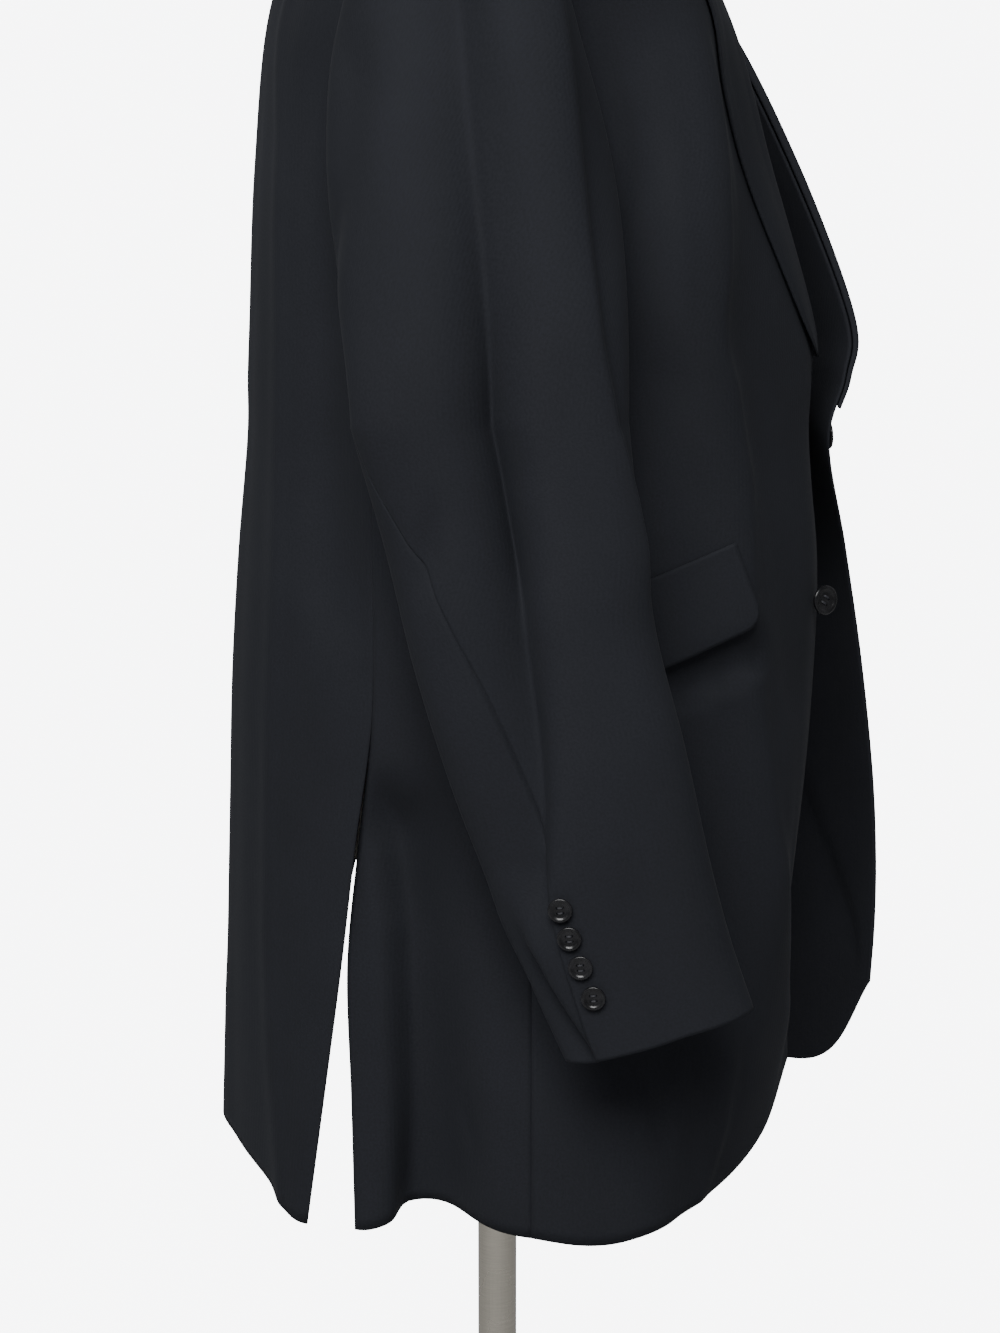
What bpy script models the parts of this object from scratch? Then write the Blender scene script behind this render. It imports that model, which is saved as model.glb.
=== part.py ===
"""A long two-button jacket on a limbless dress form with a pole and a round base.

The wearer's front is +X, the wearer's right is -Y, and the base stands on z = 0.
The tables below are a tailor's draft: each row is one level of the garment, each
column is one line of the cloth that runs from the hem upwards, and each entry is
(height z, forward x, sideways y) in centimetres. Sideways counts from the middle
towards the wearer's own side, so that one table can serve both halves.
"""

import math

import bmesh
import bpy
import numpy as np
from mathutils import Vector

CM = 0.01
CLOTH = 0.0018  # wall of the body, the sleeves and the flaps
COLLAR_CLOTH = 0.0022  # wall of the lapels and the collar
SEAM_GAP = 0.00015  # clearance on each side of a seam
LEAST_LEAN = 0.5  # keeps a wall from growing too long where it leans at a seam
COLLECTION = "two_button_jacket_on_form"

# Cells across each piece, and cells from one row of its table to the next.
BACK_CELLS = 12
SIDE_CELLS = 7
FRONT_CELLS = 15
CELLS_PER_ROW = 2
ONWARD_SHARE = 0.5  # how far a border runs on where no panel follows it

CLOTH_SHARP_ANGLE = math.radians(50)
HARD_SHARP_ANGLE = math.radians(40)

BACK_ROWS = (
    # row      centre                turn                  seam to the side body, then armhole
    ("hem", (63.6, -19.7, 0.0), (62.4, -15.5, 11.0), (61.2, -12.6, 15.6)),
    ("low", (71.0, -19.4, 0.0), (70.8, -15.6, 11.1), (70.4, -11.3, 16.0)),
    ("vent", (79.0, -19.1, 0.0), (79.0, -15.4, 11.2), (79.0, -10.1, 16.4)),
    ("seat", (87.0, -18.8, 0.0), (87.0, -15.1, 11.2), (87.0, -9.1, 16.8)),
    ("vent_top", (95.5, -18.5, 0.0), (95.5, -14.8, 11.1), (95.5, -7.9, 17.2)),
    ("waist", (104.0, -17.9, 0.0), (104.0, -14.5, 11.0), (104.0, -7.7, 17.4)),
    ("rib", (112.0, -17.1, 0.0), (112.0, -14.3, 11.0), (112.0, -7.7, 17.8)),
    ("break", (116.0, -17.0, 0.0), (116.0, -14.2, 11.0), (116.0, -7.6, 18.1)),
    ("chest", (120.0, -16.8, 0.0), (120.0, -14.1, 11.0), (119.0, -7.6, 18.3)),
    ("blade", (130.0, -16.3, 0.0), (130.0, -13.7, 11.4), (129.5, -8.8, 18.4)),
    ("yoke", (140.0, -15.1, 0.0), (139.6, -12.6, 11.4), (138.5, -8.8, 19.2)),
    ("over", (148.0, -12.0, 0.0), (147.5, -8.2, 10.6), (144.2, -6.0, 21.0)),
    ("shoulder", (152.5, -8.0, 0.0), (153.8, -1.5, 8.5), (146.5, -1.0, 22.5)),
)
# The left vent hangs open further than the right one: how far back its edge goes, in cm.
LEFT_VENT_SET_BACK = {"hem": 1.9, "low": 1.5, "vent": 0.9, "seat": 0.3}

SIDE_ROWS = (
    # row      vent edge, then seam   middle               seam to the front
    ("hem", (61.6, -9.3, 17.4), (62.6, -4.3, 17.0), (62.2, 2.2, 20.2)),
    ("low", (70.4, -9.5, 16.5), (70.4, -4.0, 17.9), (70.4, 2.2, 20.2)),
    ("vent", (79.0, -9.7, 15.9), (79.0, -3.8, 18.4), (79.0, 2.2, 20.0)),
    ("seat", (87.0, -8.9, 16.0), (87.0, -3.4, 18.6), (87.0, 2.2, 19.7)),
    ("vent_top", (95.5, -7.85, 17.15), (95.5, -3.0, 18.7), (95.5, 2.2, 19.5)),
    ("waist", (104.0, -7.7, 17.4), (104.0, -2.9, 18.8), (104.0, 2.1, 19.3)),
    ("rib", (112.0, -7.7, 17.8), (112.0, -2.9, 18.9), (112.0, 2.0, 19.1)),
    ("break", (116.0, -7.6, 18.1), (116.0, -2.8, 18.9), (116.0, 2.0, 18.9)),
    ("chest", (119.0, -7.6, 18.3), (117.8, -2.8, 18.9), (119.0, 2.0, 18.7)),
)

FRONT_RIGHT_ROWS = (
    # row    side seam, armhole  hip                 ridge                face                 edge, roll line
    ("hem", (62.2, 2.2, 20.2), (61.8, 8.0, 20.2), (63.6, 13.9, 16.2), (66.3, 17.7, 12.6), (70.3, 19.8, 8.8)),
    ("low", (70.4, 2.2, 20.2), (70.4, 8.8, 20.0), (70.8, 15.2, 17.0), (72.2, 18.5, 13.2), (75.0, 19.6, 9.2)),
    ("vent", (79.0, 2.2, 20.0), (79.0, 9.4, 19.5), (79.2, 16.4, 16.8), (79.5, 18.7, 13.8), (80.6, 19.2, 9.6)),
    ("seat", (87.0, 2.2, 19.7), (87.0, 9.6, 19.2), (87.0, 17.3, 15.6), (87.0, 19.5, 12.4), (87.0, 20.3, 8.4)),
    ("vent_top", (95.5, 2.2, 19.5), (95.5, 9.6, 18.9), (95.5, 17.0, 15.0), (95.5, 20.1, 10.9), (95.5, 21.2, 6.4)),
    ("waist", (104.0, 2.1, 19.3), (104.0, 9.3, 18.5), (104.0, 16.3, 14.9), (104.0, 20.4, 9.6), (104.0, 21.6, 4.4)),
    ("rib", (112.0, 2.0, 19.1), (112.0, 8.9, 18.2), (112.0, 15.4, 14.9), (112.0, 20.2, 7.0), (112.0, 21.4, -1.0)),
    ("break", (116.0, 2.0, 18.9), (116.0, 8.5, 18.0), (116.0, 14.9, 15.0), (116.0, 20.1, 6.6), (116.0, 21.3, 1.8)),
    ("chest", (119.0, 2.0, 18.7), (120.0, 8.3, 17.9), (120.0, 14.4, 15.1), (120.0, 19.2, 7.4), (119.8, 20.7, 3.8)),
    ("blade", (129.5, 5.2, 18.0), (129.8, 9.0, 17.3), (130.0, 13.6, 15.2), (130.0, 16.2, 9.4), (130.0, 17.2, 5.7)),
    ("yoke", (138.5, 4.0, 19.0), (139.0, 8.0, 17.7), (139.5, 12.0, 15.0), (139.5, 13.4, 10.7), (139.5, 14.0, 6.9)),
    ("over", (144.2, 2.4, 21.4), (145.2, 5.4, 18.9), (146.2, 7.6, 15.3), (147.1, 8.7, 11.6), (147.8, 8.9, 8.0)),
    (
        "shoulder",
        (146.5, -1.0, 22.5),
        (148.6, -1.14, 18.6),
        (150.5, -1.27, 15.0),
        (152.3, -1.39, 11.5),
        (153.8, -1.5, 8.5),
    ),
)
FRONT_LEFT_ROWS = (
    ("hem", (62.2, 2.2, 20.2), (62.2, 9.2, 19.8), (62.8, 17.0, 16.7), (63.6, 24.6, 10.6), (70.6, 27.9, 7.4)),
    ("low", (70.4, 2.2, 20.2), (70.4, 9.3, 19.5), (71.0, 16.9, 16.6), (72.0, 24.5, 10.8), (75.5, 28.1, 7.3)),
    ("vent", (79.0, 2.2, 20.0), (79.0, 9.4, 19.2), (79.2, 16.9, 16.4), (79.8, 24.3, 10.9), (80.8, 28.0, 7.1)),
    ("seat", (87.0, 2.2, 19.7), (87.0, 9.4, 18.9), (87.0, 16.8, 16.0), (87.0, 23.8, 10.8), (87.0, 27.5, 6.6)),
    ("vent_top", (95.5, 2.2, 19.5), (95.5, 9.3, 18.7), (95.5, 16.6, 15.6), (95.5, 23.0, 10.2), (95.5, 26.3, 5.6)),
    ("waist", (104.0, 2.1, 19.3), (104.0, 9.1, 18.4), (104.0, 16.1, 15.1), (104.0, 21.9, 9.6), (104.0, 24.6, 3.3)),
    ("rib", (112.0, 2.0, 19.1), (112.0, 8.9, 18.2), (112.0, 15.4, 14.9), (112.0, 20.8, 8.4), (111.6, 22.6, -1.8)),
    ("break", (116.0, 2.0, 18.9), (116.0, 8.5, 18.0), (116.0, 14.9, 15.0), (116.0, 20.8, 8.2), (116.0, 23.8, -0.4)),
    ("chest", (119.0, 2.0, 18.7), (120.0, 8.3, 17.9), (120.0, 14.4, 15.1), (120.0, 20.4, 8.2), (120.0, 24.0, 1.0)),
    ("blade", (129.5, 5.2, 18.0), (129.8, 9.0, 17.3), (130.0, 13.6, 15.2), (130.0, 17.6, 9.8), (130.0, 20.3, 4.4)),
    ("yoke", (138.5, 4.0, 19.0), (139.0, 8.0, 17.7), (139.5, 12.0, 15.0), (139.5, 14.0, 10.8), (139.5, 15.5, 6.8)),
    ("over", (144.2, 2.4, 21.4), (145.2, 5.4, 18.9), (146.2, 7.6, 15.3), (147.1, 8.8, 11.6), (147.8, 9.1, 8.0)),
    (
        "shoulder",
        (146.5, -1.0, 22.5),
        (148.6, -1.14, 18.6),
        (150.5, -1.27, 15.0),
        (152.3, -1.39, 11.5),
        (153.8, -1.5, 8.5),
    ),
)

# The armhole is the panels' own border. It is walked from the shoulder point down the
# back, under the arm and up the front; these are the shares of the way at its corners.
ARMHOLE_TURNS = (0.0, 0.42, 0.58, 1.0)
ARMHOLE_MIDDLE = (-1.6, 131.0)  # x, z
ARMHOLE_CLEARANCE = 0.09  # inwards and outwards, cm
CAP_BULGE = 8.0  # how far the sleeve head swells backwards and forwards as it leaves the armhole

SLEEVE_ROWS = (
    # row      z     x     y     width  thick  rise  back seam (turn from the outer face to the back)
    ("bicep", 114.5, -0.4, 23.7, 16.4, 6.4, 0.02, 0.245),
    ("upper", 108.0, 0.9, 23.9, 15.2, 6.2, 0.08, 0.140),
    ("elbow", 101.0, 2.3, 24.3, 14.6, 6.0, 0.14, 0.085),
    ("forearm", 94.0, 4.3, 24.8, 14.2, 5.8, 0.20, 0.080),
    ("wrist", 87.0, 6.3, 25.3, 13.4, 5.4, 0.26, 0.075),
    ("low", 82.0, 8.1, 25.7, 12.5, 5.0, 0.29, 0.090),
    ("cuff", 77.9, 9.8, 26.0, 11.9, 4.6, 0.30, 0.110),
)
SLEEVE_CAP_STEPS = (0.0, 0.10, 0.24, 0.42, 0.62, 0.82)
SLEEVE_CELLS_AROUND = 24
SLEEVE_FRONT_SEAM = -0.36  # turn
SLEEVE_TOP_SEAM = 0.30  # turn of the back seam where it leaves the armhole
CAP_LEAVE = 4.0  # how far the sleeve head runs outwards before it falls, cm, under the arm
CAP_PULL = 13.0  # and at the shoulder
CAP_FALL = 26.0
CAP_HEIGHT = 32.0  # from the bicep to the shoulder point
CAP_LEAST_FALL = 0.25  # share of the fall, under the arm
CAP_LIFT = 1.5
CAP_ARRIVAL = 0.4
CAP_FOLD_FADE = 2.5  # how fast the folds set in below the armhole
RING_POINTS = 16  # to find the middle of a sleeve's section
SECTION_POWER = 0.85  # below 1 the sleeve's section is squarer than an ellipse
TURN_STEP = 0.02  # for the sleeve's normals
LEVEL_STEP = 0.05

# Soft troughs (negative depth) and ridges of the sleeve's outer face, in centimetres.
SLEEVE_FOLD_FADE = 8.0  # length over which a fold dies out
SLEEVE_FOLDS = (
    # name          top z  low z  turn at top, at low   width (turns)  depth
    ("long_trough", 141.0, 86.0, 0.020, 0.185, 0.030, -0.75),
    ("near_trough", 139.0, 108.0, -0.035, -0.045, 0.022, -0.45),
    ("front_crease", 139.0, 103.0, -0.140, -0.125, 0.020, 0.40),
    ("elbow_fold", 108.0, 98.0, 0.150, 0.060, 0.030, -0.45),
    ("inner_trough", 112.0, 84.0, 0.480, 0.500, 0.045, -0.60),
)
# Soft troughs and ridges of the body's panels: across is the share of the panel's width.
FOLD_FADE = 6.0  # length over which a fold dies out
FOLD_MARGIN = 0.06  # share of the width, beside a seam, that stays smooth
BACK_FOLDS = (
    # name          top z  low z  across at top, at low  width  depth
    ("back_crease", 146.0, 60.0, 0.560, 0.520, 0.050, 0.30),
    ("sleeve_shade", 138.0, 100.0, 0.760, 0.700, 0.080, -0.40),
    ("centre_dip", 140.0, 60.0, 0.240, 0.200, 0.090, -0.20),
)
SIDE_FOLDS = (("vent_fold", 92.0, 60.0, 0.20, 0.62, 0.11, -0.40),)
FRONT_FOLDS = (
    ("edge_ridge", 136.0, 84.0, 0.55, 0.52, 0.045, 0.22),
    ("hem_crease", 78.0, 58.0, 0.66, 0.52, 0.050, 0.22),
    ("under_pocket", 98.0, 60.0, 0.30, 0.18, 0.090, -0.30),
)

LAPEL_WIDTH = 8.2  # at its top, cm
LAPEL_TIP_WIDTH = 0.5  # at its foot
LAPEL_WIDTH_POWER = 0.65  # below 1 it widens fastest above its foot
LAPEL_CELLS = 6
LAPEL_ROLL_RADIUS = 0.35
LAPEL_ROLL_SHIFT = 0.06  # clearance between the roll and the front's edge, cm
LAPEL_ROLL_ANGLES = (20, 70, 120, 160)
LAPEL_ROLL_FOOT = 0.45  # share of the roll's radius at the lapel's foot
LAPEL_LIFT_POWER = 1.5  # how fast the lapel comes down from its roll
LAPEL_LIFT = 0.45  # height of its middle over the front, cm
LAPEL_RIGHT_START = "break"
LAPEL_LEFT_START = "rib"
LAPEL_START_SHIFT = 0.5  # rows above that row
LAPEL_END = "over"
LAPEL_END_SHIFT = 0.1  # rows below that row

COLLAR_STATIONS = (
    # name      seam                  roll                   free edge
    ("gorge", (148.2, 9.2, 7.6), (148.5, 9.5, 7.5), (147.5, 9.5, 11.7)),
    ("corner", (149.6, 7.6, 7.8), (150.2, 7.8, 7.6), (148.6, 7.6, 13.5)),
    ("front", (151.9, 4.2, 8.1), (153.0, 4.4, 7.9), (150.6, 4.0, 13.0)),
    ("neck", (154.2, -1.6, 8.3), (155.9, -1.7, 8.5), (152.4, -1.6, 12.6)),
    ("nape_side", (153.9, -5.2, 4.7), (156.1, -5.9, 5.3), (151.4, -7.4, 7.6)),
    ("nape", (152.9, -8.2, 0.0), (155.9, -8.7, 0.0), (151.0, -10.4, 0.0)),
)
COLLAR_CELLS = 7
COLLAR_CELLS_PER_STATION = 4

FLAP_LENGTH = 13.4
FLAP_DEPTH = 5.4
FLAP_FRONT_CORNER = (106.6, 13.3)  # its upper one: height, distance from the side seam
FLAP_SLOPE = math.radians(18.5)
FLAP_ROUNDING = 1.2
FLAP_LIFT = 0.28
FLAP_CELLS = (12, 4)  # along, down

BUTTON_FRONT_RADIUS = 0.0098
BUTTON_CUFF_RADIUS = 0.0074
BUTTON_PROFILE = (
    # share of the radius, share of the thickness
    (0.00, 0.72),
    (0.62, 0.72),
    (0.74, 1.00),
    (0.92, 0.96),
    (1.00, 0.60),
    (0.86, 0.12),
    (0.45, 0.00),
    (0.00, 0.00),
)
BUTTON_THICKNESS_SHARE = 0.36  # of the radius
BUTTON_STAND = 0.0012  # clearance between a button and the cloth
CUFF_BUTTONS = (
    # height, turns in front of the sleeve's back seam
    (86.1, 0.021),
    (84.4, 0.022),
    (82.7, 0.027),
    (81.0, 0.034),
)
BUTTON_LOWER = (101.7, 2.6)  # height, distance from the front edge
BUTTON_LOWER_STAND = 0.5  # cm from the cloth, so that it can droop on its thread
BUTTON_LOWER_DROOP = math.radians(30)
BUTTON_UPPER = (111.9, 1.9)
BUTTON_UPPER_STAND = 0.06

FORM_ROWS = (
    # row         z      back   front  half width
    ("underside", 84.0, -10.8, 10.8, 14.6),
    ("hip", 93.0, -11.6, 11.0, 15.6),
    ("waist", 108.0, -8.8, 9.4, 12.2),
    ("rib", 118.0, -10.6, 11.6, 13.8),
    ("bust", 128.0, -11.8, 12.4, 15.4),
    ("chest", 137.0, -11.6, 10.4, 17.0),
    ("shoulder", 143.0, -8.6, 6.4, 19.6),
    ("slope", 147.6, -6.6, 4.2, 16.2),
    ("neck_base", 151.0, -6.0, 3.6, 8.6),
    ("neck", 155.0, -5.6, 4.0, 5.4),
    ("neck_top", 161.0, -5.2, 4.6, 5.2),
)
FORM_SIDES = 28
POLE_SIDES = 32
BUTTON_SIDES = 16
BASE_SIDES = 48
FORM_CELLS_PER_ROW = 2
FORM_SQUARENESS = 2.3

POLE_RADIUS = 0.014
POLE_GAP = 0.0003
BASE_PROFILE = (
    # radius, height
    (0.000, 0.0340),
    (0.030, 0.0340),
    (0.034, 0.0200),
    (0.172, 0.0125),
    (0.183, 0.0090),
    (0.185, 0.0040),
    (0.182, 0.0000),
    (0.000, 0.0000),
)

NAVY = (0.0125, 0.0135, 0.0180)
BUTTON_BLACK = (0.008, 0.008, 0.009)
FORM_CREAM = (0.62, 0.58, 0.50)
STEEL = (0.52, 0.50, 0.47)


# ---------------------------------------------------------------- curves and patches


def spline_weights(t):
    """The four weights of a Catmull-Rom segment at t in [0, 1]."""
    return (
        0.5 * (-t + 2 * t * t - t * t * t),
        0.5 * (2 - 5 * t * t + 3 * t * t * t),
        0.5 * (t + 4 * t * t - 3 * t * t * t),
        0.5 * (-t * t + t * t * t),
    )


def sample(points, places, before=None, after=None):
    """Points on the smooth curve through `points`, at places counted in points from 0."""
    points = np.asarray(points, float)
    first = 2 * points[0] - points[1] if before is None else before
    last = 2 * points[-1] - points[-2] if after is None else after
    padded = np.concatenate([[first], points, [last]])
    found = []
    for place in places:
        segment = min(int(place), len(points) - 2)
        weights = spline_weights(place - segment)
        found.append(sum(w * padded[segment + i] for i, w in enumerate(weights)))
    return np.array(found)


def table_points(rows):
    """The (x, y, z) points of a table, as an array of rows by columns, in centimetres."""
    return np.array([[(x, y, z) for z, x, y in row[1:]] for row in rows], float)


def row_number(rows, name):
    return [row[0] for row in rows].index(name)


def even_places(row, cells, before=None, after=None):
    """Places along one row that are equally far apart, so that the cells are even."""
    fine = np.linspace(0, len(row) - 1, 12 * (len(row) - 1) + 1)
    line = sample(row, fine, before, after)
    lengths = np.concatenate([[0], np.cumsum(np.linalg.norm(np.diff(line, axis=0), axis=1))])
    return np.interp(np.linspace(0, lengths[-1], cells + 1), lengths, fine)


def beside(rows, table, column, edge, inner):
    """A column of the next panel, by row name; above that panel the border runs straight on."""
    own = table_points(rows)
    named = {row[0]: row[1:][column] for row in table}
    found = []
    for i, row in enumerate(rows):
        if row[0] in named:
            z, x, y = named[row[0]]
            found.append((x, y, z))
        else:
            found.append(own[i, edge] + ONWARD_SHARE * (own[i, edge] - own[i, inner]))
    return np.array(found, float)


def panel_grid(rows, cells, before, after, top=None):
    """A panel's surface, as an array of points [up][across][x, y, z] in centimetres.

    before, after: the columns that the cloth turns towards past its two borders.
    top: the points that it turns towards past its last row.
    """
    columns = table_points(rows)
    places = np.linspace(0, len(rows) - 1, (len(rows) - 1) * CELLS_PER_ROW + 1)
    levels = sample(columns, places, after=top)
    befores = sample(before, places)
    afters = sample(after, places)
    grid = []
    for level, first, last in zip(levels, befores, afters):
        across = even_places(level, cells, first, last)
        grid.append(sample(level, across, first, last))
    return np.array(grid)


def past(point, inner):
    """Where a line from `inner` to `point` would come to next."""
    return 2 * np.asarray(point, float) - np.asarray(inner, float)


def normals_of(grid):
    """Unit normals of a grid that point out of the garment."""
    across = np.gradient(grid, axis=1, edge_order=2)
    up = np.gradient(grid, axis=0, edge_order=2)
    normal = np.cross(up, across)
    length = np.linalg.norm(normal, axis=2, keepdims=True)
    return normal / np.maximum(length, 1e-9)


def add_folds(grid, folds):
    """Moves a grid out and in along its soft ridges and troughs."""
    normal = normals_of(grid)
    rise = np.zeros(grid.shape[:2])
    share = np.linspace(0, 1, grid.shape[1])[None, :]
    z = grid[:, :, 2]
    for _, top, low, across_top, across_low, width, depth in folds:
        t = np.clip((top - z) / (top - low), 0, 1)
        centre = across_top + (across_low - across_top) * t
        along = np.clip((top - z) / FOLD_FADE, 0, 1) * np.clip((z - low) / FOLD_FADE + 1, 0, 1)
        rise += depth * along * np.exp(-(((share - centre) / width) ** 2))
    seam = np.minimum(1, np.minimum(share, 1 - share) / FOLD_MARGIN)
    return grid + normal * (rise * seam)[:, :, None]


def trimmed(grid, left=0.0, right=0.0, top=0.0):
    """Draws a grid's borders in by these gaps in metres, towards the next line of points."""
    grid = grid.copy()

    def pulled(border, inner, gap):
        way = inner - border
        return border + way / np.linalg.norm(way, axis=1, keepdims=True) * gap / CM

    grid[:, 0] = pulled(grid[:, 0], grid[:, 1], left)
    grid[:, -1] = pulled(grid[:, -1], grid[:, -2], right)
    grid[-1] = pulled(grid[-1], grid[-2], top)
    return grid


def for_side(grid, side):
    """The wearer's right half is at -Y: side is -1 there and +1 on the left."""
    return grid * np.array([1, side, 1])


# ---------------------------------------------------------------- objects


def material(name, colour, roughness, metallic=0.0):
    made = bpy.data.materials.new(name)
    made.use_nodes = True
    shader = made.node_tree.nodes["Principled BSDF"]
    shader.inputs["Base Color"].default_value = (*colour, 1.0)
    shader.inputs["Roughness"].default_value = roughness
    shader.inputs["Metallic"].default_value = metallic
    made.diffuse_color = (*colour, 1.0)
    return made


def new_object(name, mesh, finish, collection):
    made = bpy.data.objects.new(name, mesh)
    mesh.materials.append(finish)
    collection.objects.link(made)
    return made


def grid_faces(rows, columns, flip=False, closed=False, first=0):
    """Four-sided faces on a grid of points that are numbered row by row from `first`."""
    faces = []
    for r in range(rows - 1):
        for c in range(columns if closed else columns - 1):
            d = (c + 1) % columns
            face = (r * columns + c, r * columns + d, (r + 1) * columns + d, (r + 1) * columns + c)
            face = tuple(first + i for i in face)
            faces.append(face[::-1] if flip else face)
    return faces


def cloth_object(name, grid, finish, collection, flip=False, wall=CLOTH, seams=None, normal=None):
    """A piece of cloth: the sheet on the grid, and a second one a wall's thickness inside it.

    seams: the way in at the points of the grid that lie on a seam, and zeros elsewhere. The two
    pieces at a seam share it, so that their walls meet like a mitre, with an even gap.
    """
    rows, columns = grid.shape[:2]
    normal = normals_of(grid) if normal is None else normal
    way = -normal
    if seams is not None:
        on_seam = np.any(seams != 0, axis=2)
        way[on_seam] = seams[on_seam]
    lean = np.maximum(-np.sum(way * normal, axis=2, keepdims=True), LEAST_LEAN)
    inner = grid + way * (wall / CM) / lean
    half = rows * columns
    faces = grid_faces(rows, columns, flip) + grid_faces(rows, columns, not flip, first=half)
    border = list(range(columns))
    border += [(r + 1) * columns - 1 for r in range(1, rows)]
    border += [half - 1 - c for c in range(1, columns)]
    border += [r * columns for r in range(rows - 2, 0, -1)]
    for first, second in zip(border, border[1:] + border[:1]):
        # The rims of two pieces at a seam are cut along the same diagonal, so that they never cross.
        if first < second:
            rims = ((first, second + half, second), (first, first + half, second + half))
        else:
            rims = ((first, first + half, second), (first + half, second + half, second))
        faces.extend(rim[::-1] if flip else rim for rim in rims)
    points = np.concatenate([grid.reshape(-1, 3), inner.reshape(-1, 3)]) * CM
    mesh = bpy.data.meshes.new(name)
    mesh.from_pydata(points.tolist(), [], faces)
    mesh.shade_smooth()
    mesh.set_sharp_from_angle(angle=CLOTH_SHARP_ANGLE)
    return new_object(name, mesh, finish, collection)


def seam_ways(grid, top=False, left_up_to=0, right_up_to=0):
    """The way in along a panel's seams, in rows counted from the hem: to the pole, and down at the top."""
    ways = np.zeros_like(grid)
    for column, rows in ((0, left_up_to), (-1, right_up_to)):
        if rows:
            middle = grid[:rows, column] * np.array([1, 1, 0])
            ways[:rows, column] = -middle / np.linalg.norm(middle, axis=1, keepdims=True)
    if top:
        ways[-1] = (0, 0, -1)
    return ways


# ---------------------------------------------------------------- body of the jacket


def back_rows(side):
    """The back's table, with the left vent's edge set back."""
    if side < 0:
        return BACK_ROWS
    rows = []
    for name, centre, turn, (z, x, y) in BACK_ROWS:
        rows.append((name, centre, turn, (z, x - LEFT_VENT_SET_BACK.get(name, 0.0), y)))
    return tuple(rows)


def back_grid(side=-1):
    rows = back_rows(side)
    points = table_points(rows)
    before = points[:, 1] * np.array([1, -1, 1])
    after = beside(rows, SIDE_ROWS, 1, 2, 1)
    over = table_points(FRONT_RIGHT_ROWS)[-2]
    top = np.array([past(points[-1, 0], points[-2, 0]), over[-1], over[0]])
    grid = add_folds(panel_grid(rows, BACK_CELLS, before, after, top), BACK_FOLDS)
    shoulder = table_points(FRONT_RIGHT_ROWS)[-1][::-1]
    seam = sample(shoulder, np.linspace(0, len(shoulder) - 1, 41))
    for point in grid[-1]:
        if point[1] > seam[0, 1]:
            point[0] = np.interp(point[1], seam[:, 1], seam[:, 0])
            point[2] = np.interp(point[1], seam[:, 1], seam[:, 2])
    return grid


def side_grid():
    rows = SIDE_ROWS
    points = table_points(rows)
    before = beside(rows, BACK_ROWS, 1, 0, 1)
    after = beside(rows, FRONT_RIGHT_ROWS, 1, 2, 1)
    blade_back = table_points(BACK_ROWS)[row_number(BACK_ROWS, "blade")][2]
    blade_front = table_points(FRONT_RIGHT_ROWS)[row_number(FRONT_RIGHT_ROWS, "blade")][0]
    top = np.array([blade_back, past(points[-1, 1], points[-2, 1]), blade_front])
    return add_folds(panel_grid(rows, SIDE_CELLS, before, after, top), SIDE_FOLDS)


def front_rows(side):
    return FRONT_RIGHT_ROWS if side < 0 else FRONT_LEFT_ROWS


def front_grid(side):
    rows = front_rows(side)
    points = table_points(rows)
    before = beside(rows, SIDE_ROWS, 1, 0, 1)
    after = past(points[:, -1], points[:, -2])
    over = table_points(BACK_ROWS)[-2]
    share = np.linspace(0, 1, points.shape[1])[:, None]
    top = over[2] * (1 - share) + over[1] * share
    return add_folds(panel_grid(rows, FRONT_CELLS, before, after, top), FRONT_FOLDS)


def make_panel(name, grid, ways, side, cloth, collection):
    """Mirrors a panel and its seams to the wearer's side, and makes it."""
    normal = for_side(normals_of(grid), side)
    cloth_object(
        name, for_side(grid, side), cloth, collection, side > 0, seams=for_side(ways, side), normal=normal
    )


def make_body(collection, cloth):
    to_chest = row_number(BACK_ROWS, "chest") * CELLS_PER_ROW + 1
    for side, hand in ((-1, "right"), (1, "left")):
        back = back_grid(side)
        ways = seam_ways(back, top=True, left_up_to=len(back), right_up_to=to_chest)
        make_panel(f"back_{hand}", trimmed(back, SEAM_GAP, SEAM_GAP, SEAM_GAP), ways, side, cloth, collection)
        middle = side_grid()
        ways = seam_ways(middle, left_up_to=to_chest, right_up_to=to_chest)
        make_panel(f"side_{hand}", trimmed(middle, SEAM_GAP, SEAM_GAP), ways, side, cloth, collection)
        front = front_grid(side)
        ways = seam_ways(front, top=True, left_up_to=to_chest)
        make_panel(f"front_{hand}", trimmed(front, SEAM_GAP, 0.0, SEAM_GAP), ways, side, cloth, collection)


# ---------------------------------------------------------------- places on a panel


def line_point(line, distance):
    """The point at a distance along a line of points, and the way along it there."""
    steps = np.linalg.norm(np.diff(line, axis=0), axis=1)
    lengths = np.concatenate([[0], np.cumsum(steps)])
    distance = min(max(distance, 0.0), lengths[-1])
    i = min(int(np.searchsorted(lengths, distance, side="right")) - 1, len(steps) - 1)
    share = (distance - lengths[i]) / steps[i]
    return line[i] + (line[i + 1] - line[i]) * share, i + share


def place_on(grid, row, distance, from_edge=True):
    """The point and normal on a panel's row, at a distance from its front edge or its seam."""
    normal = normals_of(grid)
    low = min(int(row), len(grid) - 2)
    share = row - low
    line = grid[low] * (1 - share) + grid[low + 1] * share
    facing = normal[low] * (1 - share) + normal[low + 1] * share
    if from_edge:
        line = line[::-1]
        facing = facing[::-1]
    point, place = line_point(line, distance)
    i = min(int(place), len(line) - 2)
    out = facing[i] * (1 - place + i) + facing[i + 1] * (place - i)
    return point, out / np.linalg.norm(out)


def row_at_height(grid, z, column=-1):
    """The row number, with a fraction, where a column of the grid is at height z."""
    return float(np.interp(z, grid[:, column, 2], np.arange(len(grid))))


# ---------------------------------------------------------------- lapels and collar


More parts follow.
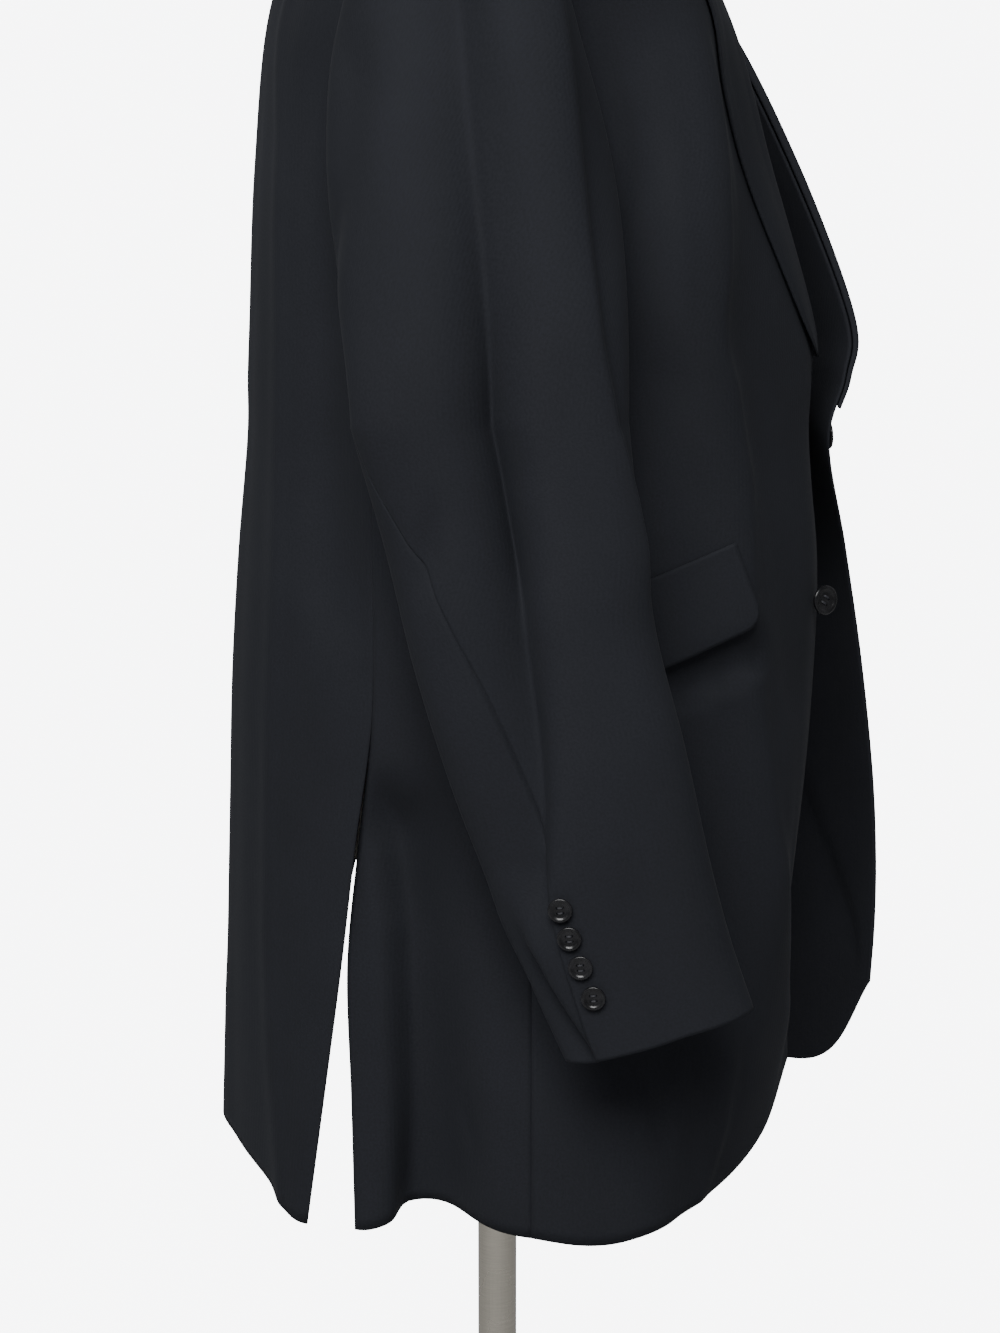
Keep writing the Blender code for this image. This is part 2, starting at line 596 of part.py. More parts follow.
def lapel_grid(side):
    """The lapel: from the roll line at the front's edge, round the roll and back over the front."""
    rows = front_rows(side)
    front = front_grid(side)
    start = row_number(rows, LAPEL_RIGHT_START if side < 0 else LAPEL_LEFT_START)
    end = row_number(rows, LAPEL_END)
    levels = np.linspace(start + LAPEL_START_SHIFT, end - LAPEL_END_SHIFT, 2 * (end - start) + 3)
    levels = levels * CELLS_PER_ROW
    first, last = levels[0], levels[-1]
    grid = []
    for level in levels:
        share = (level - first) / (last - first)
        width = LAPEL_TIP_WIDTH + (LAPEL_WIDTH - LAPEL_TIP_WIDTH) * share**LAPEL_WIDTH_POWER
        line = []
        edge, out = place_on(front, level, 0.0)
        inner, _ = place_on(front, level, LAPEL_TIP_WIDTH)
        ahead = (edge - inner) / np.linalg.norm(edge - inner)
        radius = LAPEL_ROLL_RADIUS * min(1.0, LAPEL_ROLL_FOOT + share)
        for angle in LAPEL_ROLL_ANGLES:
            turn = math.radians(angle)
            forward = LAPEL_ROLL_SHIFT + radius * math.sin(turn)
            line.append(edge + ahead * forward + out * radius * (1 - math.cos(turn)))
        for i in range(LAPEL_CELLS):
            t = (i + 1) / LAPEL_CELLS
            point, out = place_on(front, level, width * t)
            droop = LAPEL_LIFT + (2 * radius - LAPEL_LIFT) * (1 - t) ** LAPEL_LIFT_POWER
            line.append(point + out * droop)
        grid.append(line)
    return np.array(grid)


def collar_grid():
    half = np.array([[(x, y, z) for z, x, y in station[1:]] for station in COLLAR_STATIONS], float)
    other = half[:-1] * np.array([1, -1, 1])
    stations = np.concatenate([other, half[::-1]])
    last = len(stations) - 1
    places = np.linspace(0, last, COLLAR_CELLS_PER_STATION * last + 1)
    lines = sample(stations, places)
    across = np.linspace(0, 2, COLLAR_CELLS + 1)
    return np.array([sample(line, across) for line in lines])


def make_lapels_and_collar(collection, cloth):
    for side, hand in ((-1, "right"), (1, "left")):
        grid = for_side(lapel_grid(side), side)
        normal = -side * normals_of(grid)
        cloth_object(f"lapel_{hand}", grid, cloth, collection, side < 0, COLLAR_CLOTH, normal=normal)
    collar = collar_grid()
    cloth_object("collar", collar, cloth, collection, False, COLLAR_CLOTH, normal=-normals_of(collar))


# ---------------------------------------------------------------- pocket flaps


def flap_grid(side):
    """The flap hangs at right angles to its slanted upper edge, and lies on the front's points."""
    front = front_grid(side)
    along_cells, down_cells = FLAP_CELLS
    corner_height, corner_distance = FLAP_FRONT_CORNER
    rise, run = math.sin(FLAP_SLOPE), math.cos(FLAP_SLOPE)
    grid = []
    for j in range(down_cells + 1):
        line = []
        for i in range(along_cells + 1):
            to_front = FLAP_LENGTH * (1 - i / along_cells)
            end = min(to_front, FLAP_LENGTH - to_front)
            rounding = max(0.0, FLAP_ROUNDING - end)
            depth = FLAP_DEPTH - FLAP_ROUNDING + math.sqrt(max(0.0, FLAP_ROUNDING**2 - rounding**2))
            down = depth * j / down_cells
            z = corner_height - to_front * rise - down * run
            row = row_at_height(front, z, FRONT_CELLS // 2)
            distance = corner_distance - to_front * run + down * rise
            point, out = place_on(front, row, distance, from_edge=False)
            line.append(point + out * FLAP_LIFT)
        grid.append(line)
    return np.array(grid)[::-1]


def make_flaps(collection, cloth):
    for side, hand in ((-1, "right"), (1, "left")):
        grid = flap_grid(side)
        make_panel(f"flap_{hand}", grid, np.zeros_like(grid), side, cloth, collection)


# ---------------------------------------------------------------- sleeves


def ring_point(row, turn):
    """A point of a sleeve's section: turn 0 is its outer face, 0.25 its back, 0.75 its front."""
    _, z, x, y, width, thickness, rise, _ = row
    angle = 2 * math.pi * turn
    across = -math.copysign(abs(math.sin(angle)) ** SECTION_POWER, math.sin(angle)) * width / 2
    out = math.copysign(abs(math.cos(angle)) ** SECTION_POWER, math.cos(angle)) * thickness / 2
    tilt = math.atan(rise)
    return np.array([x + across * math.cos(tilt), y + out, z + across * math.sin(tilt)])


def armhole_line():
    """The armhole's points and the turn at each, from the shoulder round the back to the front."""
    back = back_grid()[row_number(BACK_ROWS, "chest") * CELLS_PER_ROW :, -1][::-1]
    under = side_grid()[-1]
    fore = front_grid(-1)[row_number(FRONT_RIGHT_ROWS, "chest") * CELLS_PER_ROW :, 0]
    points, turns = [], []
    for line, start, end in zip((back, under, fore), ARMHOLE_TURNS, ARMHOLE_TURNS[1:]):
        steps = np.linalg.norm(np.diff(line, axis=0), axis=1)
        lengths = np.concatenate([[0], np.cumsum(steps)])
        points.extend(line[:-1])
        turns.extend((start + (end - start) * lengths / lengths[-1])[:-1])
    return np.array(points + [points[0]]), np.array(turns + [1.0])


def armhole_point(armhole, turn):
    """A point of the armhole, moved in and outwards so that the sleeve starts clear of the panels."""
    points, turns = armhole
    point = np.array([np.interp(turn % 1.0, turns, points[:, axis]) for axis in range(3)])
    x, z = ARMHOLE_MIDDLE
    inward = np.array([x - point[0], 0, z - point[2]])
    inward /= np.linalg.norm(inward)
    return point + (inward + np.array([0, 1, 0])) * ARMHOLE_CLEARANCE


def sleeve_line(turns, level):
    """One ring of the sleeve; level counts rows of the table from the bicep down."""
    values = np.array([row[1:] for row in SLEEVE_ROWS], float)
    mixed = sample(values, [level])[0]
    return np.array([ring_point(("", *mixed), turn) for turn in turns])


def cap_line(armhole, turns, t):
    """A ring of the sleeve head, from the armhole at t = 0 to the bicep at t = 1."""
    start_share, leave_share = 2 * t**3 - 3 * t**2 + 1, t**3 - 2 * t**2 + t
    end_share, arrive_share = -2 * t**3 + 3 * t**2, t**3 - t**2
    line = []
    for turn in turns:
        start = armhole_point(armhole, turn)
        end = ring_point(SLEEVE_ROWS[0], turn)
        drop = (start[2] - end[2]) / CAP_HEIGHT
        outward = math.cos(2 * math.pi * turn)
        forward = -math.sin(2 * math.pi * turn)
        swell = math.copysign(math.sqrt(abs(forward)), forward) * abs(forward)
        sideways = CAP_LEAVE + (CAP_PULL - CAP_LEAVE) * max(0.0, outward)
        leave = np.array([CAP_BULGE * swell, sideways, CAP_LIFT * outward])
        arrive = np.array([0.0, CAP_ARRIVAL * outward, -CAP_FALL * max(CAP_LEAST_FALL, drop)])
        line.append(start_share * start + leave_share * leave + end_share * end + arrive_share * arrive)
    return np.array(line)


def ring_line(armhole, turns, level):
    return cap_line(armhole, turns, level + 1) if level < 0 else sleeve_line(turns, level)


def back_seam_turn(level):
    if level < 0:
        return SLEEVE_TOP_SEAM + (SLEEVE_ROWS[0][7] - SLEEVE_TOP_SEAM) * (1 + level)
    return float(sample([[row[7]] for row in SLEEVE_ROWS], [level])[0][0])


def sleeve_fold(turn, z):
    rise = 0.0
    for _, top, low, turn_top, turn_low, width, depth in SLEEVE_FOLDS:
        t = min(max((top - z) / (top - low), 0.0), 1.0)
        centre = turn_top + (turn_low - turn_top) * t
        starts = min(max((top - z) / SLEEVE_FOLD_FADE, 0.0), 1.0)
        ends = min(max((z - low) / SLEEVE_FOLD_FADE + 0.5, 0.0), 1.0)
        away = (turn - centre + 0.5) % 1.0 - 0.5
        rise += depth * starts * ends * math.exp(-((away / width) ** 2))
    return rise


def folded_ring(armhole, turns, level):
    """One ring of the sleeve with its folds, which move it to and from the ring's middle."""
    line = ring_line(armhole, turns, level)
    middle = ring_line(armhole, np.linspace(0, 1, RING_POINTS, endpoint=False), level).mean(axis=0)
    fade = 1.0 if level >= 0 else min(1.0, CAP_FOLD_FADE * (level + 1))
    for i, turn in enumerate(turns):
        way = line[i] - middle
        way[2] = 0
        line[i] += way / np.linalg.norm(way) * sleeve_fold(turn, line[i][2]) * fade
    return line


def sleeve_grid(armhole, from_turn, to_turn, cells):
    """Part of the sleeve between two turns, each a function of the level, and its normals.

    Both pieces take the normals from the whole ring, so that their walls meet at the seams.
    """
    lowest = len(SLEEVE_ROWS) - 1
    levels = [share - 1 for share in SLEEVE_CAP_STEPS]
    levels += list(np.linspace(0, lowest, 2 * lowest + 1))
    grid, normals = [], []
    for level in levels:
        turns = np.linspace(from_turn(level), to_turn(level), cells + 1)
        grid.append(folded_ring(armhole, turns, level))
        around = folded_ring(armhole, turns + TURN_STEP, level) - folded_ring(armhole, turns - TURN_STEP, level)
        above = folded_ring(armhole, turns, max(level - LEVEL_STEP, -1))
        down = folded_ring(armhole, turns, min(level + LEVEL_STEP, lowest)) - above
        normal = np.cross(down, around)
        normals.append(normal / np.linalg.norm(normal, axis=1, keepdims=True))
    return np.array(grid), np.array(normals)


def make_sleeves(collection, cloth):
    armhole = armhole_line()
    top_cells = SLEEVE_CELLS_AROUND * 5 // 8
    under_cells = SLEEVE_CELLS_AROUND - top_cells
    for side, hand in ((-1, "right"), (1, "left")):
        pieces = {
            "top": sleeve_grid(armhole, lambda level: SLEEVE_FRONT_SEAM, back_seam_turn, top_cells),
            "under": sleeve_grid(armhole, back_seam_turn, lambda level: 1 + SLEEVE_FRONT_SEAM, under_cells),
        }
        for name, (grid, normal) in pieces.items():
            grid = for_side(trimmed(grid, SEAM_GAP, SEAM_GAP), side)
            normal = for_side(normal, side)
            cloth_object(f"sleeve_{name}_{hand}", grid, cloth, collection, side > 0, normal=normal)


# ---------------------------------------------------------------- buttons


def turned_object(name, profile, finish, collection, steps=BUTTON_SIDES):
    """A solid of revolution about +Z from (radius, height) pairs, given top to bottom."""
    mesh = bpy.data.meshes.new(name)
    points = [(radius, 0.0, height) for radius, height in profile]
    edges = [(i, i + 1) for i in range(len(points) - 1)]
    mesh.from_pydata(points, edges, [])
    made = new_object(name, mesh, finish, collection)
    screw = made.modifiers.new("turn", "SCREW")
    screw.steps = steps
    screw.render_steps = steps
    screw.use_merge_vertices = True
    screw.merge_threshold = 0.00001
    screw.use_smooth_shade = True
    return made


def place_button(name, radius, point, out, finish, collection):
    """A button whose back stands clear of the cloth, facing along `out`."""
    thickness = radius * BUTTON_THICKNESS_SHARE
    profile = [(r * radius, h * thickness) for r, h in BUTTON_PROFILE]
    made = turned_object(name, profile, finish, collection)
    out = np.asarray(out) / np.linalg.norm(out)
    made.location = np.asarray(point) * CM + out * BUTTON_STAND
    made.rotation_mode = "QUATERNION"
    made.rotation_quaternion = Vector((0, 0, 1)).rotation_difference(Vector(out))
    return made


def make_buttons(collection, finish):
    right = front_grid(-1)
    point, out = place_on(right, row_at_height(right, BUTTON_LOWER[0]), BUTTON_LOWER[1])
    point, out = point * (1, -1, 1), out * (1, -1, 1)
    tilt = math.sin(BUTTON_LOWER_DROOP)
    droop = out + np.array([-tilt, -tilt, 0])
    point = point + out * BUTTON_LOWER_STAND
    place_button("button_lower", BUTTON_FRONT_RADIUS, point, droop, finish, collection)
    left = front_grid(1)
    point, out = place_on(left, row_at_height(left, BUTTON_UPPER[0]), BUTTON_UPPER[1])
    point = point + out * BUTTON_UPPER_STAND
    place_button("button_upper", BUTTON_FRONT_RADIUS, point, out, finish, collection)
    for side, hand in ((-1, "right"), (1, "left")):
        for number, (height, ahead) in enumerate(CUFF_BUTTONS, 1):
            point, out = sleeve_place(height, ahead)
            name = f"cuff_button_{hand}_{number}"
            flipped = np.array([1, side, 1])
            place_button(name, BUTTON_CUFF_RADIUS, point * flipped, out * flipped, finish, collection)


def sleeve_place(height, ahead):
    """The point and normal on the sleeve's outer face, this many turns in front of its back seam."""
    levels = np.linspace(3, len(SLEEVE_ROWS) - 1, 60)
    turns = [back_seam_turn(level) - ahead for level in levels]
    points = [sleeve_line([turn], level)[0] for turn, level in zip(turns, levels)]
    i = int(np.argmin([abs(point[2] - height) for point in points]))
    point = points[i]
    beside = sleeve_line([turns[i] - 0.01], levels[i])[0] - point
    down = points[min(i + 1, len(points) - 1)] - points[i - 1]
    out = np.cross(beside, down)
    out *= np.sign(out[1])
    return point, out / np.linalg.norm(out)


# ---------------------------------------------------------------- dress form and stand


def make_form(collection, finish):
    values = np.array([row[1:] for row in FORM_ROWS], float)
    places = np.linspace(0, len(values) - 1, FORM_CELLS_PER_ROW * (len(values) - 1) + 1)
    grid = []
    for z, back, front, half_width in sample(values, places):
        ring = []
        for i in range(FORM_SIDES):
            angle = 2 * math.pi * i / FORM_SIDES
            c, s = math.cos(angle), math.sin(angle)
            reach = (abs(c) ** FORM_SQUARENESS + abs(s) ** FORM_SQUARENESS) ** (-1 / FORM_SQUARENESS)
            x = (front if c > 0 else -back) * c * reach
            ring.append((x * CM, half_width * s * reach * CM, z * CM))
        grid.append(ring)
    mesh = bpy.data.meshes.new("form_torso")
    points = [point for ring in grid for point in ring]
    mesh.from_pydata(points, [], grid_faces(len(grid), FORM_SIDES, closed=True))
    shape = bmesh.new()
    shape.from_mesh(mesh)
    borders = [edge for edge in shape.edges if edge.is_boundary]
    bmesh.ops.holes_fill(shape, edges=borders, sides=0)
    bmesh.ops.recalc_face_normals(shape, faces=shape.faces)
    shape.to_mesh(mesh)
    shape.free()
    mesh.shade_smooth()
    mesh.set_sharp_from_angle(angle=HARD_SHARP_ANGLE)
    return new_object("form_torso", mesh, finish, collection)


def make_stand(collection, steel):
    bottom = BASE_PROFILE[0][1]
    top = FORM_ROWS[0][1] * CM
    length = top - bottom - 2 * POLE_GAP
    bpy.ops.mesh.primitive_cylinder_add(
        vertices=POLE_SIDES, radius=POLE_RADIUS, depth=length, location=(0, 0, bottom + POLE_GAP + length / 2)
    )
    pole = bpy.context.active_object
    pole.name = "stand_pole"
    pole.data.materials.append(steel)
    pole.data.shade_smooth()
    pole.data.set_sharp_from_angle(angle=HARD_SHARP_ANGLE)
    for owner in list(pole.users_collection):
        owner.objects.unlink(pole)
    collection.objects.link(pole)
    turned_object("stand_base", BASE_PROFILE, steel, collection, BASE_SIDES)


def main():
    for old in list(bpy.data.objects):
        bpy.data.objects.remove(old)
    collection = bpy.data.collections.new(COLLECTION)
    bpy.context.scene.collection.children.link(collection)
    cloth = material("navy_cloth", NAVY, 0.75)
    black = material("button_gloss", BUTTON_BLACK, 0.25)
    steel = material("brushed_steel", STEEL, 0.35, 1.0)
    cream = material("form_cover", FORM_CREAM, 0.85)
    make_body(collection, cloth)
    make_lapels_and_collar(collection, cloth)
    make_flaps(collection, cloth)
    make_sleeves(collection, cloth)
    make_buttons(collection, black)
    make_form(collection, cream)
    make_stand(collection, steel)


main()
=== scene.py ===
"""A long two-button suit jacket on a limbless dress form, dressed and lit for a studio picture.

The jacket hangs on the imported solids. Its cloth is cut from the same draft as theirs, in
centimetres, with finer cells, softer seams and the small creases that suiting takes.
"""

import math

import bmesh
import bpy
import numpy as np
from bpy.props import FloatProperty, FloatVectorProperty, PointerProperty
from mathutils import Matrix, Vector


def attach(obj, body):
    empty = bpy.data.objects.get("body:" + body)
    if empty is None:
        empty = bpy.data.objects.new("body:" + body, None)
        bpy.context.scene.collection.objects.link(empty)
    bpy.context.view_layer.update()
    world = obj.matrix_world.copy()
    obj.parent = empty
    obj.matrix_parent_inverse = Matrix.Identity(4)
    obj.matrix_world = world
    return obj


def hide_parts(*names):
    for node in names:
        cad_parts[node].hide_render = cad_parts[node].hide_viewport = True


bl_info = {
    "name": "Suit jacket on a dress form",
    "version": (1, 0, 0),
    "blender": (4, 5, 0),
    "location": "View3D > Sidebar > Jacket",
    "description": "Builds the cloth, buttons, form and studio of a long two-button jacket",
    "category": "Object",
}

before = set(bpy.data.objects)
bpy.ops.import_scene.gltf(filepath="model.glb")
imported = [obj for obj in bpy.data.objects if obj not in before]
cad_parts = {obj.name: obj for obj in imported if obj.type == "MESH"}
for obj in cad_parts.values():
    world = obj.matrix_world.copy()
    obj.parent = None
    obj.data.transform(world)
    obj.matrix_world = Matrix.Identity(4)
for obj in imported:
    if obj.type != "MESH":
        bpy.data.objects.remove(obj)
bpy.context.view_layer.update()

CM = 0.01

# ---------------------------------------------------------------- the draft
# Each entry is (height z, forward x, sideways y) in centimetres; sideways counts from the
# middle towards the wearer's own side.

BACK_ROWS = (
    # row      centre                turn                  seam to the side body, then armhole
    ("hem", (63.6, -19.7, 0), (62.4, -15.5, 11), (61.2, -12.6, 15.6)),
    ("low", (71, -19.4, 0), (70.8, -15.6, 11.1), (70.4, -11.3, 16)),
    ("vent", (79, -19.1, 0), (79, -15.4, 11.2), (79, -10.1, 16.4)),
    ("seat", (87, -18.8, 0), (87, -15.1, 11.2), (87, -9.1, 16.8)),
    ("vent_top", (95.5, -18.5, 0), (95.5, -14.8, 11.1), (95.5, -7.9, 17.2)),
    ("waist", (104, -17.9, 0), (104, -14.5, 11), (104, -7.7, 17.4)),
    ("rib", (112, -17.1, 0), (112, -14.3, 11), (112, -7.7, 17.8)),
    ("break", (116, -17, 0), (116, -14.2, 11), (116, -7.6, 18.1)),
    ("chest", (120, -16.8, 0), (120, -14.1, 11), (119, -7.6, 18.3)),
    ("blade", (130, -16.3, 0), (130, -13.7, 11.4), (129.5, -8.8, 18.4)),
    ("yoke", (140, -15.1, 0), (139.6, -12.6, 11.4), (138.5, -8.8, 19.2)),
    ("over", (148, -12, 0), (147.5, -8.2, 10.6), (144.2, -6, 21)),
    ("shoulder", (152.5, -8, 0), (153.8, -1.5, 8.5), (146.5, -1, 22.5)),
)
# The left vent hangs open further than the right one: how far back its edge goes, in cm.
LEFT_VENT_SET_BACK = {"hem": 1.9, "low": 1.5, "vent": 0.7}

SIDE_ROWS = (
    # row      vent edge, then seam   middle               seam to the front
    ("hem", (61.6, -9.3, 17.4), (62.6, -4.3, 17), (62.2, 2.2, 20.2)),
    ("low", (70.4, -9.5, 16.5), (70.4, -4, 17.9), (70.4, 2.2, 20.2)),
    ("vent", (79, -9.7, 15.9), (79, -3.8, 18.4), (79, 2.2, 20)),
    ("seat", (87, -8.9, 16), (87, -3.4, 18.6), (87, 2.2, 19.7)),
    ("vent_top", (95.5, -7.85, 17.15), (95.5, -3, 18.7), (95.5, 2.2, 19.5)),
    ("waist", (104, -7.7, 17.4), (104, -2.9, 18.8), (104, 2.1, 19.3)),
    ("rib", (112, -7.7, 17.8), (112, -2.9, 18.9), (112, 2, 19.1)),
    ("break", (116, -7.6, 18.1), (116, -2.8, 18.9), (116, 2, 18.9)),
    ("chest", (119, -7.6, 18.3), (117.8, -2.8, 18.9), (119, 2, 18.7)),
)

FRONT_RIGHT_ROWS = (
    # row    side seam, armhole  hip                 ridge                face                 edge, roll line
    ("hem", (62.2, 2.2, 20.2), (61.8, 8, 20.2), (63.6, 13.9, 16.2), (66.3, 17.7, 12.6),
     (70.3, 19.8, 8.8)),
    ("low", (70.4, 2.2, 20.2), (70.4, 8.8, 20), (70.8, 15.2, 17), (72.2, 18.5, 13.2), (75, 19.6, 9.2)),
    ("vent", (79, 2.2, 20), (79, 9.4, 19.5), (79.2, 16.4, 16.8), (79.5, 18.7, 13.8), (80.6, 19.2, 9.6)),
    ("seat", (87, 2.2, 19.7), (87, 9.6, 19.2), (87, 17.3, 15.6), (87, 19.5, 12.4), (87, 20.3, 8.4)),
    ("vent_top", (95.5, 2.2, 19.5), (95.5, 9.6, 18.9), (95.5, 17, 15), (95.5, 20.1, 10.9),
     (95.5, 21.2, 6.4)),
    ("waist", (104, 2.1, 19.3), (104, 9.3, 18.5), (104, 16.3, 14.9), (104, 20.4, 9.6), (104, 21.6, 4.4)),
    ("rib", (112, 2, 19.1), (112, 8.9, 18.2), (112, 15.4, 14.9), (112, 20.2, 7), (112, 21.4, -1)),
    ("break", (116, 2, 18.9), (116, 8.5, 18), (116, 14.9, 15), (116, 20.1, 6.6), (116, 21.3, 1.8)),
    ("chest", (119, 2, 18.7), (120, 8.3, 17.9), (120, 14.4, 15.1), (120, 19.2, 7.4), (119.8, 20.7, 3.8)),
    ("blade", (129.5, 5.2, 18), (129.8, 9, 17.3), (130, 13.6, 15.2), (130, 16.2, 9.4), (130, 17.2, 5.7)),
    ("yoke", (138.5, 4, 19), (139, 8, 17.7), (139.5, 12, 15), (139.5, 13.4, 10.7), (139.5, 14, 6.9)),
    ("over", (144.2, 2.4, 21.4), (145.2, 5.4, 18.9), (146.2, 7.6, 15.3), (147.1, 8.7, 11.6),
     (147.8, 8.9, 8)),
    ("shoulder", (146.5, -1, 22.5), (148.6, -1.14, 18.6), (150.5, -1.27, 15), (152.3, -1.39, 11.5),
     (153.8, -1.5, 8.5)),
)
FRONT_LEFT_ROWS = (
    ("hem", (62.2, 2.2, 20.2), (62.2, 9.2, 19.8), (62.8, 17, 16.7), (63.6, 24.6, 10.6),
     (70.6, 27.9, 7.4)),
    ("low", (70.4, 2.2, 20.2), (70.4, 9.3, 19.5), (71, 16.9, 16.6), (72, 24.5, 10.8), (75.5, 28.1, 7.3)),
    ("vent", (79, 2.2, 20), (79, 9.4, 19.2), (79.2, 16.9, 16.4), (79.8, 24.3, 10.9), (80.8, 28, 7.1)),
    ("seat", (87, 2.2, 19.7), (87, 9.4, 18.9), (87, 16.8, 16), (87, 23.8, 10.8), (87, 27.5, 6.6)),
    ("vent_top", (95.5, 2.2, 19.5), (95.5, 9.3, 18.7), (95.5, 16.6, 15.6), (95.5, 23, 10.2),
     (95.5, 26.3, 5.6)),
    ("waist", (104, 2.1, 19.3), (104, 9.1, 18.4), (104, 16.1, 15.1), (104, 21.9, 9.6), (104, 24.6, 3.3)),
    ("rib", (112, 2, 19.1), (112, 8.9, 18.2), (112, 15.4, 14.9), (112, 20.8, 8.4), (111.6, 22.6, -1.8)),
    ("break", (116, 2, 18.9), (116, 8.5, 18), (116, 14.9, 15), (116, 20.8, 8.2), (116, 23.8, -0.4)),
    ("chest", (119, 2, 18.7), (120, 8.3, 17.9), (120, 14.4, 15.1), (120, 20.4, 8.2), (120, 24, 1)),
    ("blade", (129.5, 5.2, 18), (129.8, 9, 17.3), (130, 13.6, 15.2), (130, 17.6, 9.8), (130, 20.3, 4.4)),
    ("yoke", (138.5, 4, 19), (139, 8, 17.7), (139.5, 12, 15), (139.5, 14, 10.8), (139.5, 15.5, 6.8)),
    ("over", (144.2, 2.4, 21.4), (145.2, 5.4, 18.9), (146.2, 7.6, 15.3), (147.1, 8.8, 11.6),
     (147.8, 9.1, 8)),
    ("shoulder", (146.5, -1, 22.5), (148.6, -1.14, 18.6), (150.5, -1.27, 15), (152.3, -1.39, 11.5),
     (153.8, -1.5, 8.5)),
)
SLEEVE_ROWS = (
    # row      z     x     y     width  thick  rise  back seam (turn from the outer face to the back)
    ("bicep", 114.5, -0.4, 23.7, 16.4, 6.4, 0.02, 0.245),
    ("upper", 108, 0.9, 23.9, 15.2, 6.2, 0.08, 0.14),
    ("elbow", 101, 2.3, 24.3, 14.6, 6, 0.14, 0.085),
    ("forearm", 94, 4.3, 24.8, 14.2, 5.8, 0.2, 0.08),
    ("wrist", 87, 6.3, 25.3, 13.4, 5.4, 0.26, 0.075),
    ("low", 82, 8.1, 25.7, 12.5, 5, 0.29, 0.09),
    ("cuff", 77.9, 9.8, 26, 11.9, 4.6, 0.3, 0.11),
)
COLLAR_STATIONS = (
    # name      seam                  roll                   free edge
    ("gorge", (148.2, 9.2, 7.6), (148.5, 9.5, 7.5), (147.5, 9.5, 11.7)),
    ("corner", (149.6, 7.6, 7.8), (150.2, 7.8, 7.6), (148.6, 7.6, 13.5)),
    ("front", (151.9, 4.2, 8.1), (153, 4.4, 7.9), (150.6, 4, 13)),
    ("neck", (154.2, -1.6, 8.3), (155.9, -1.7, 8.5), (152.4, -1.6, 12.6)),
    ("nape_side", (153.9, -5.2, 4.7), (156.1, -5.9, 5.3), (151.4, -7.4, 7.6)),
    ("nape", (152.9, -8.2, 0), (155.9, -8.7, 0), (151, -10.4, 0)),
)
FORM_ROWS = (
    # row         z      back   front  half width
    ("underside", 84, -10.8, 10.8, 14.6),
    ("hip", 93, -11.6, 11, 15.6),
    ("waist", 108, -8.8, 9.4, 12.2),
    ("rib", 118, -10.6, 11.6, 13.8),
    ("bust", 128, -11.8, 12.4, 15.4),
    ("chest", 137, -11.6, 10.4, 17),
    ("shoulder", 143, -8.6, 6.4, 19.6),
    ("slope", 147.6, -6.6, 4.2, 16.2),
    ("neck_base", 151, -6, 3.6, 8.6),
    ("neck", 155, -5.6, 4, 5.4),
    ("neck_top", 161, -5.2, 4.6, 5.2),
)

# Soft creases. Width is in centimetres on a crease's two sides, first towards the panel's rear
# border, or on a sleeve towards its front; a trough's depth is negative. Each path runs down
# through (height, place): a share of the panel's width, or the turn on a sleeve.
BACK_CREASES = (
    # name         widths      depth  path
    ("long_crease", (1.6, 0.8), 0.3,
     ((150, 0.5), (139.7, 0.52), (132.2, 0.615), (125.2, 0.6), (106.9, 0.585), (94.6, 0.575),
      (79.9, 0.64), (56, 0.86))),
    ("sleeve_shade", (2.2, 3), -0.75,
     ((146, 0.88), (136.1, 0.865), (127.4, 0.845), (112, 0.82), (98, 0.82))),
    ("centre_dip", (2.4, 2.4), -0.14, ((140, 0.24), (104, 0.22), (56, 0.2))),
    ("vent_wave", (1.8, 2.4), -0.18, ((98, 0.76), (80, 0.78), (56, 0.8))),
    ("hem_wave", (2.6, 2), 0.16, ((78, 0.16), (66, 0.14), (56, 0.13))),
)
SIDE_CREASES = (
    ("vent_fold", (1, 3.4), -1.9,
     ((93, 0.06), (89.8, 0.11), (87, 0.2), (81.7, 0.31), (77.1, 0.335), (71.3, 0.34), (54, 0.33))),
    ("skirt_rise", (2.6, 1.6), 0.2, ((98, 0.56), (80, 0.74), (54, 0.84))),
    ("waist_soft", (1.8, 1.8), -0.14, ((116, 0.45), (92, 0.4))),
    ("hem_nick", (0.5, 0.9), -0.22, ((72, 0.56), (68.6, 0.62), (65.5, 0.68))),
)
FRONT_CREASES = (
    ("edge_ridge", (2.6, 0.9), 0.45,
     ((140, 0.52), (132.2, 0.481), (127.7, 0.473), (122.9, 0.49), (110.5, 0.47), (104.9, 0.527),
      (96.4, 0.592), (88, 0.68), (77.3, 0.85), (70, 0.95))),
    ("edge_hollow", (2.2, 4), -0.6, ((140, 0.64), (122, 0.61), (106, 0.66), (92, 0.8))),
    ("hem_crease", (1.1, 0.6), 0.28,
     ((77, 0.6), (74.4, 0.577), (71.6, 0.554), (68.2, 0.538), (60, 0.47))),
    ("hem_nick", (0.5, 0.9), -0.26, ((75, 0.29), (73.3, 0.308), (70.4, 0.332), (65, 0.38))),
    ("under_pocket", (2, 2.8), -0.26, ((94, 0.3), (80, 0.24), (56, 0.18))),
    ("arm_drape", (1.2, 2), -0.34, ((141, 0.14), (126, 0.2), (112, 0.3))),
    ("arm_ridge", (1.6, 0.9), 0.18, ((139, 0.24), (128, 0.3), (116, 0.4))),
    ("skirt_wave", (2, 1.2), 0.18, ((92, 0.42), (76, 0.4), (56, 0.36))),
)
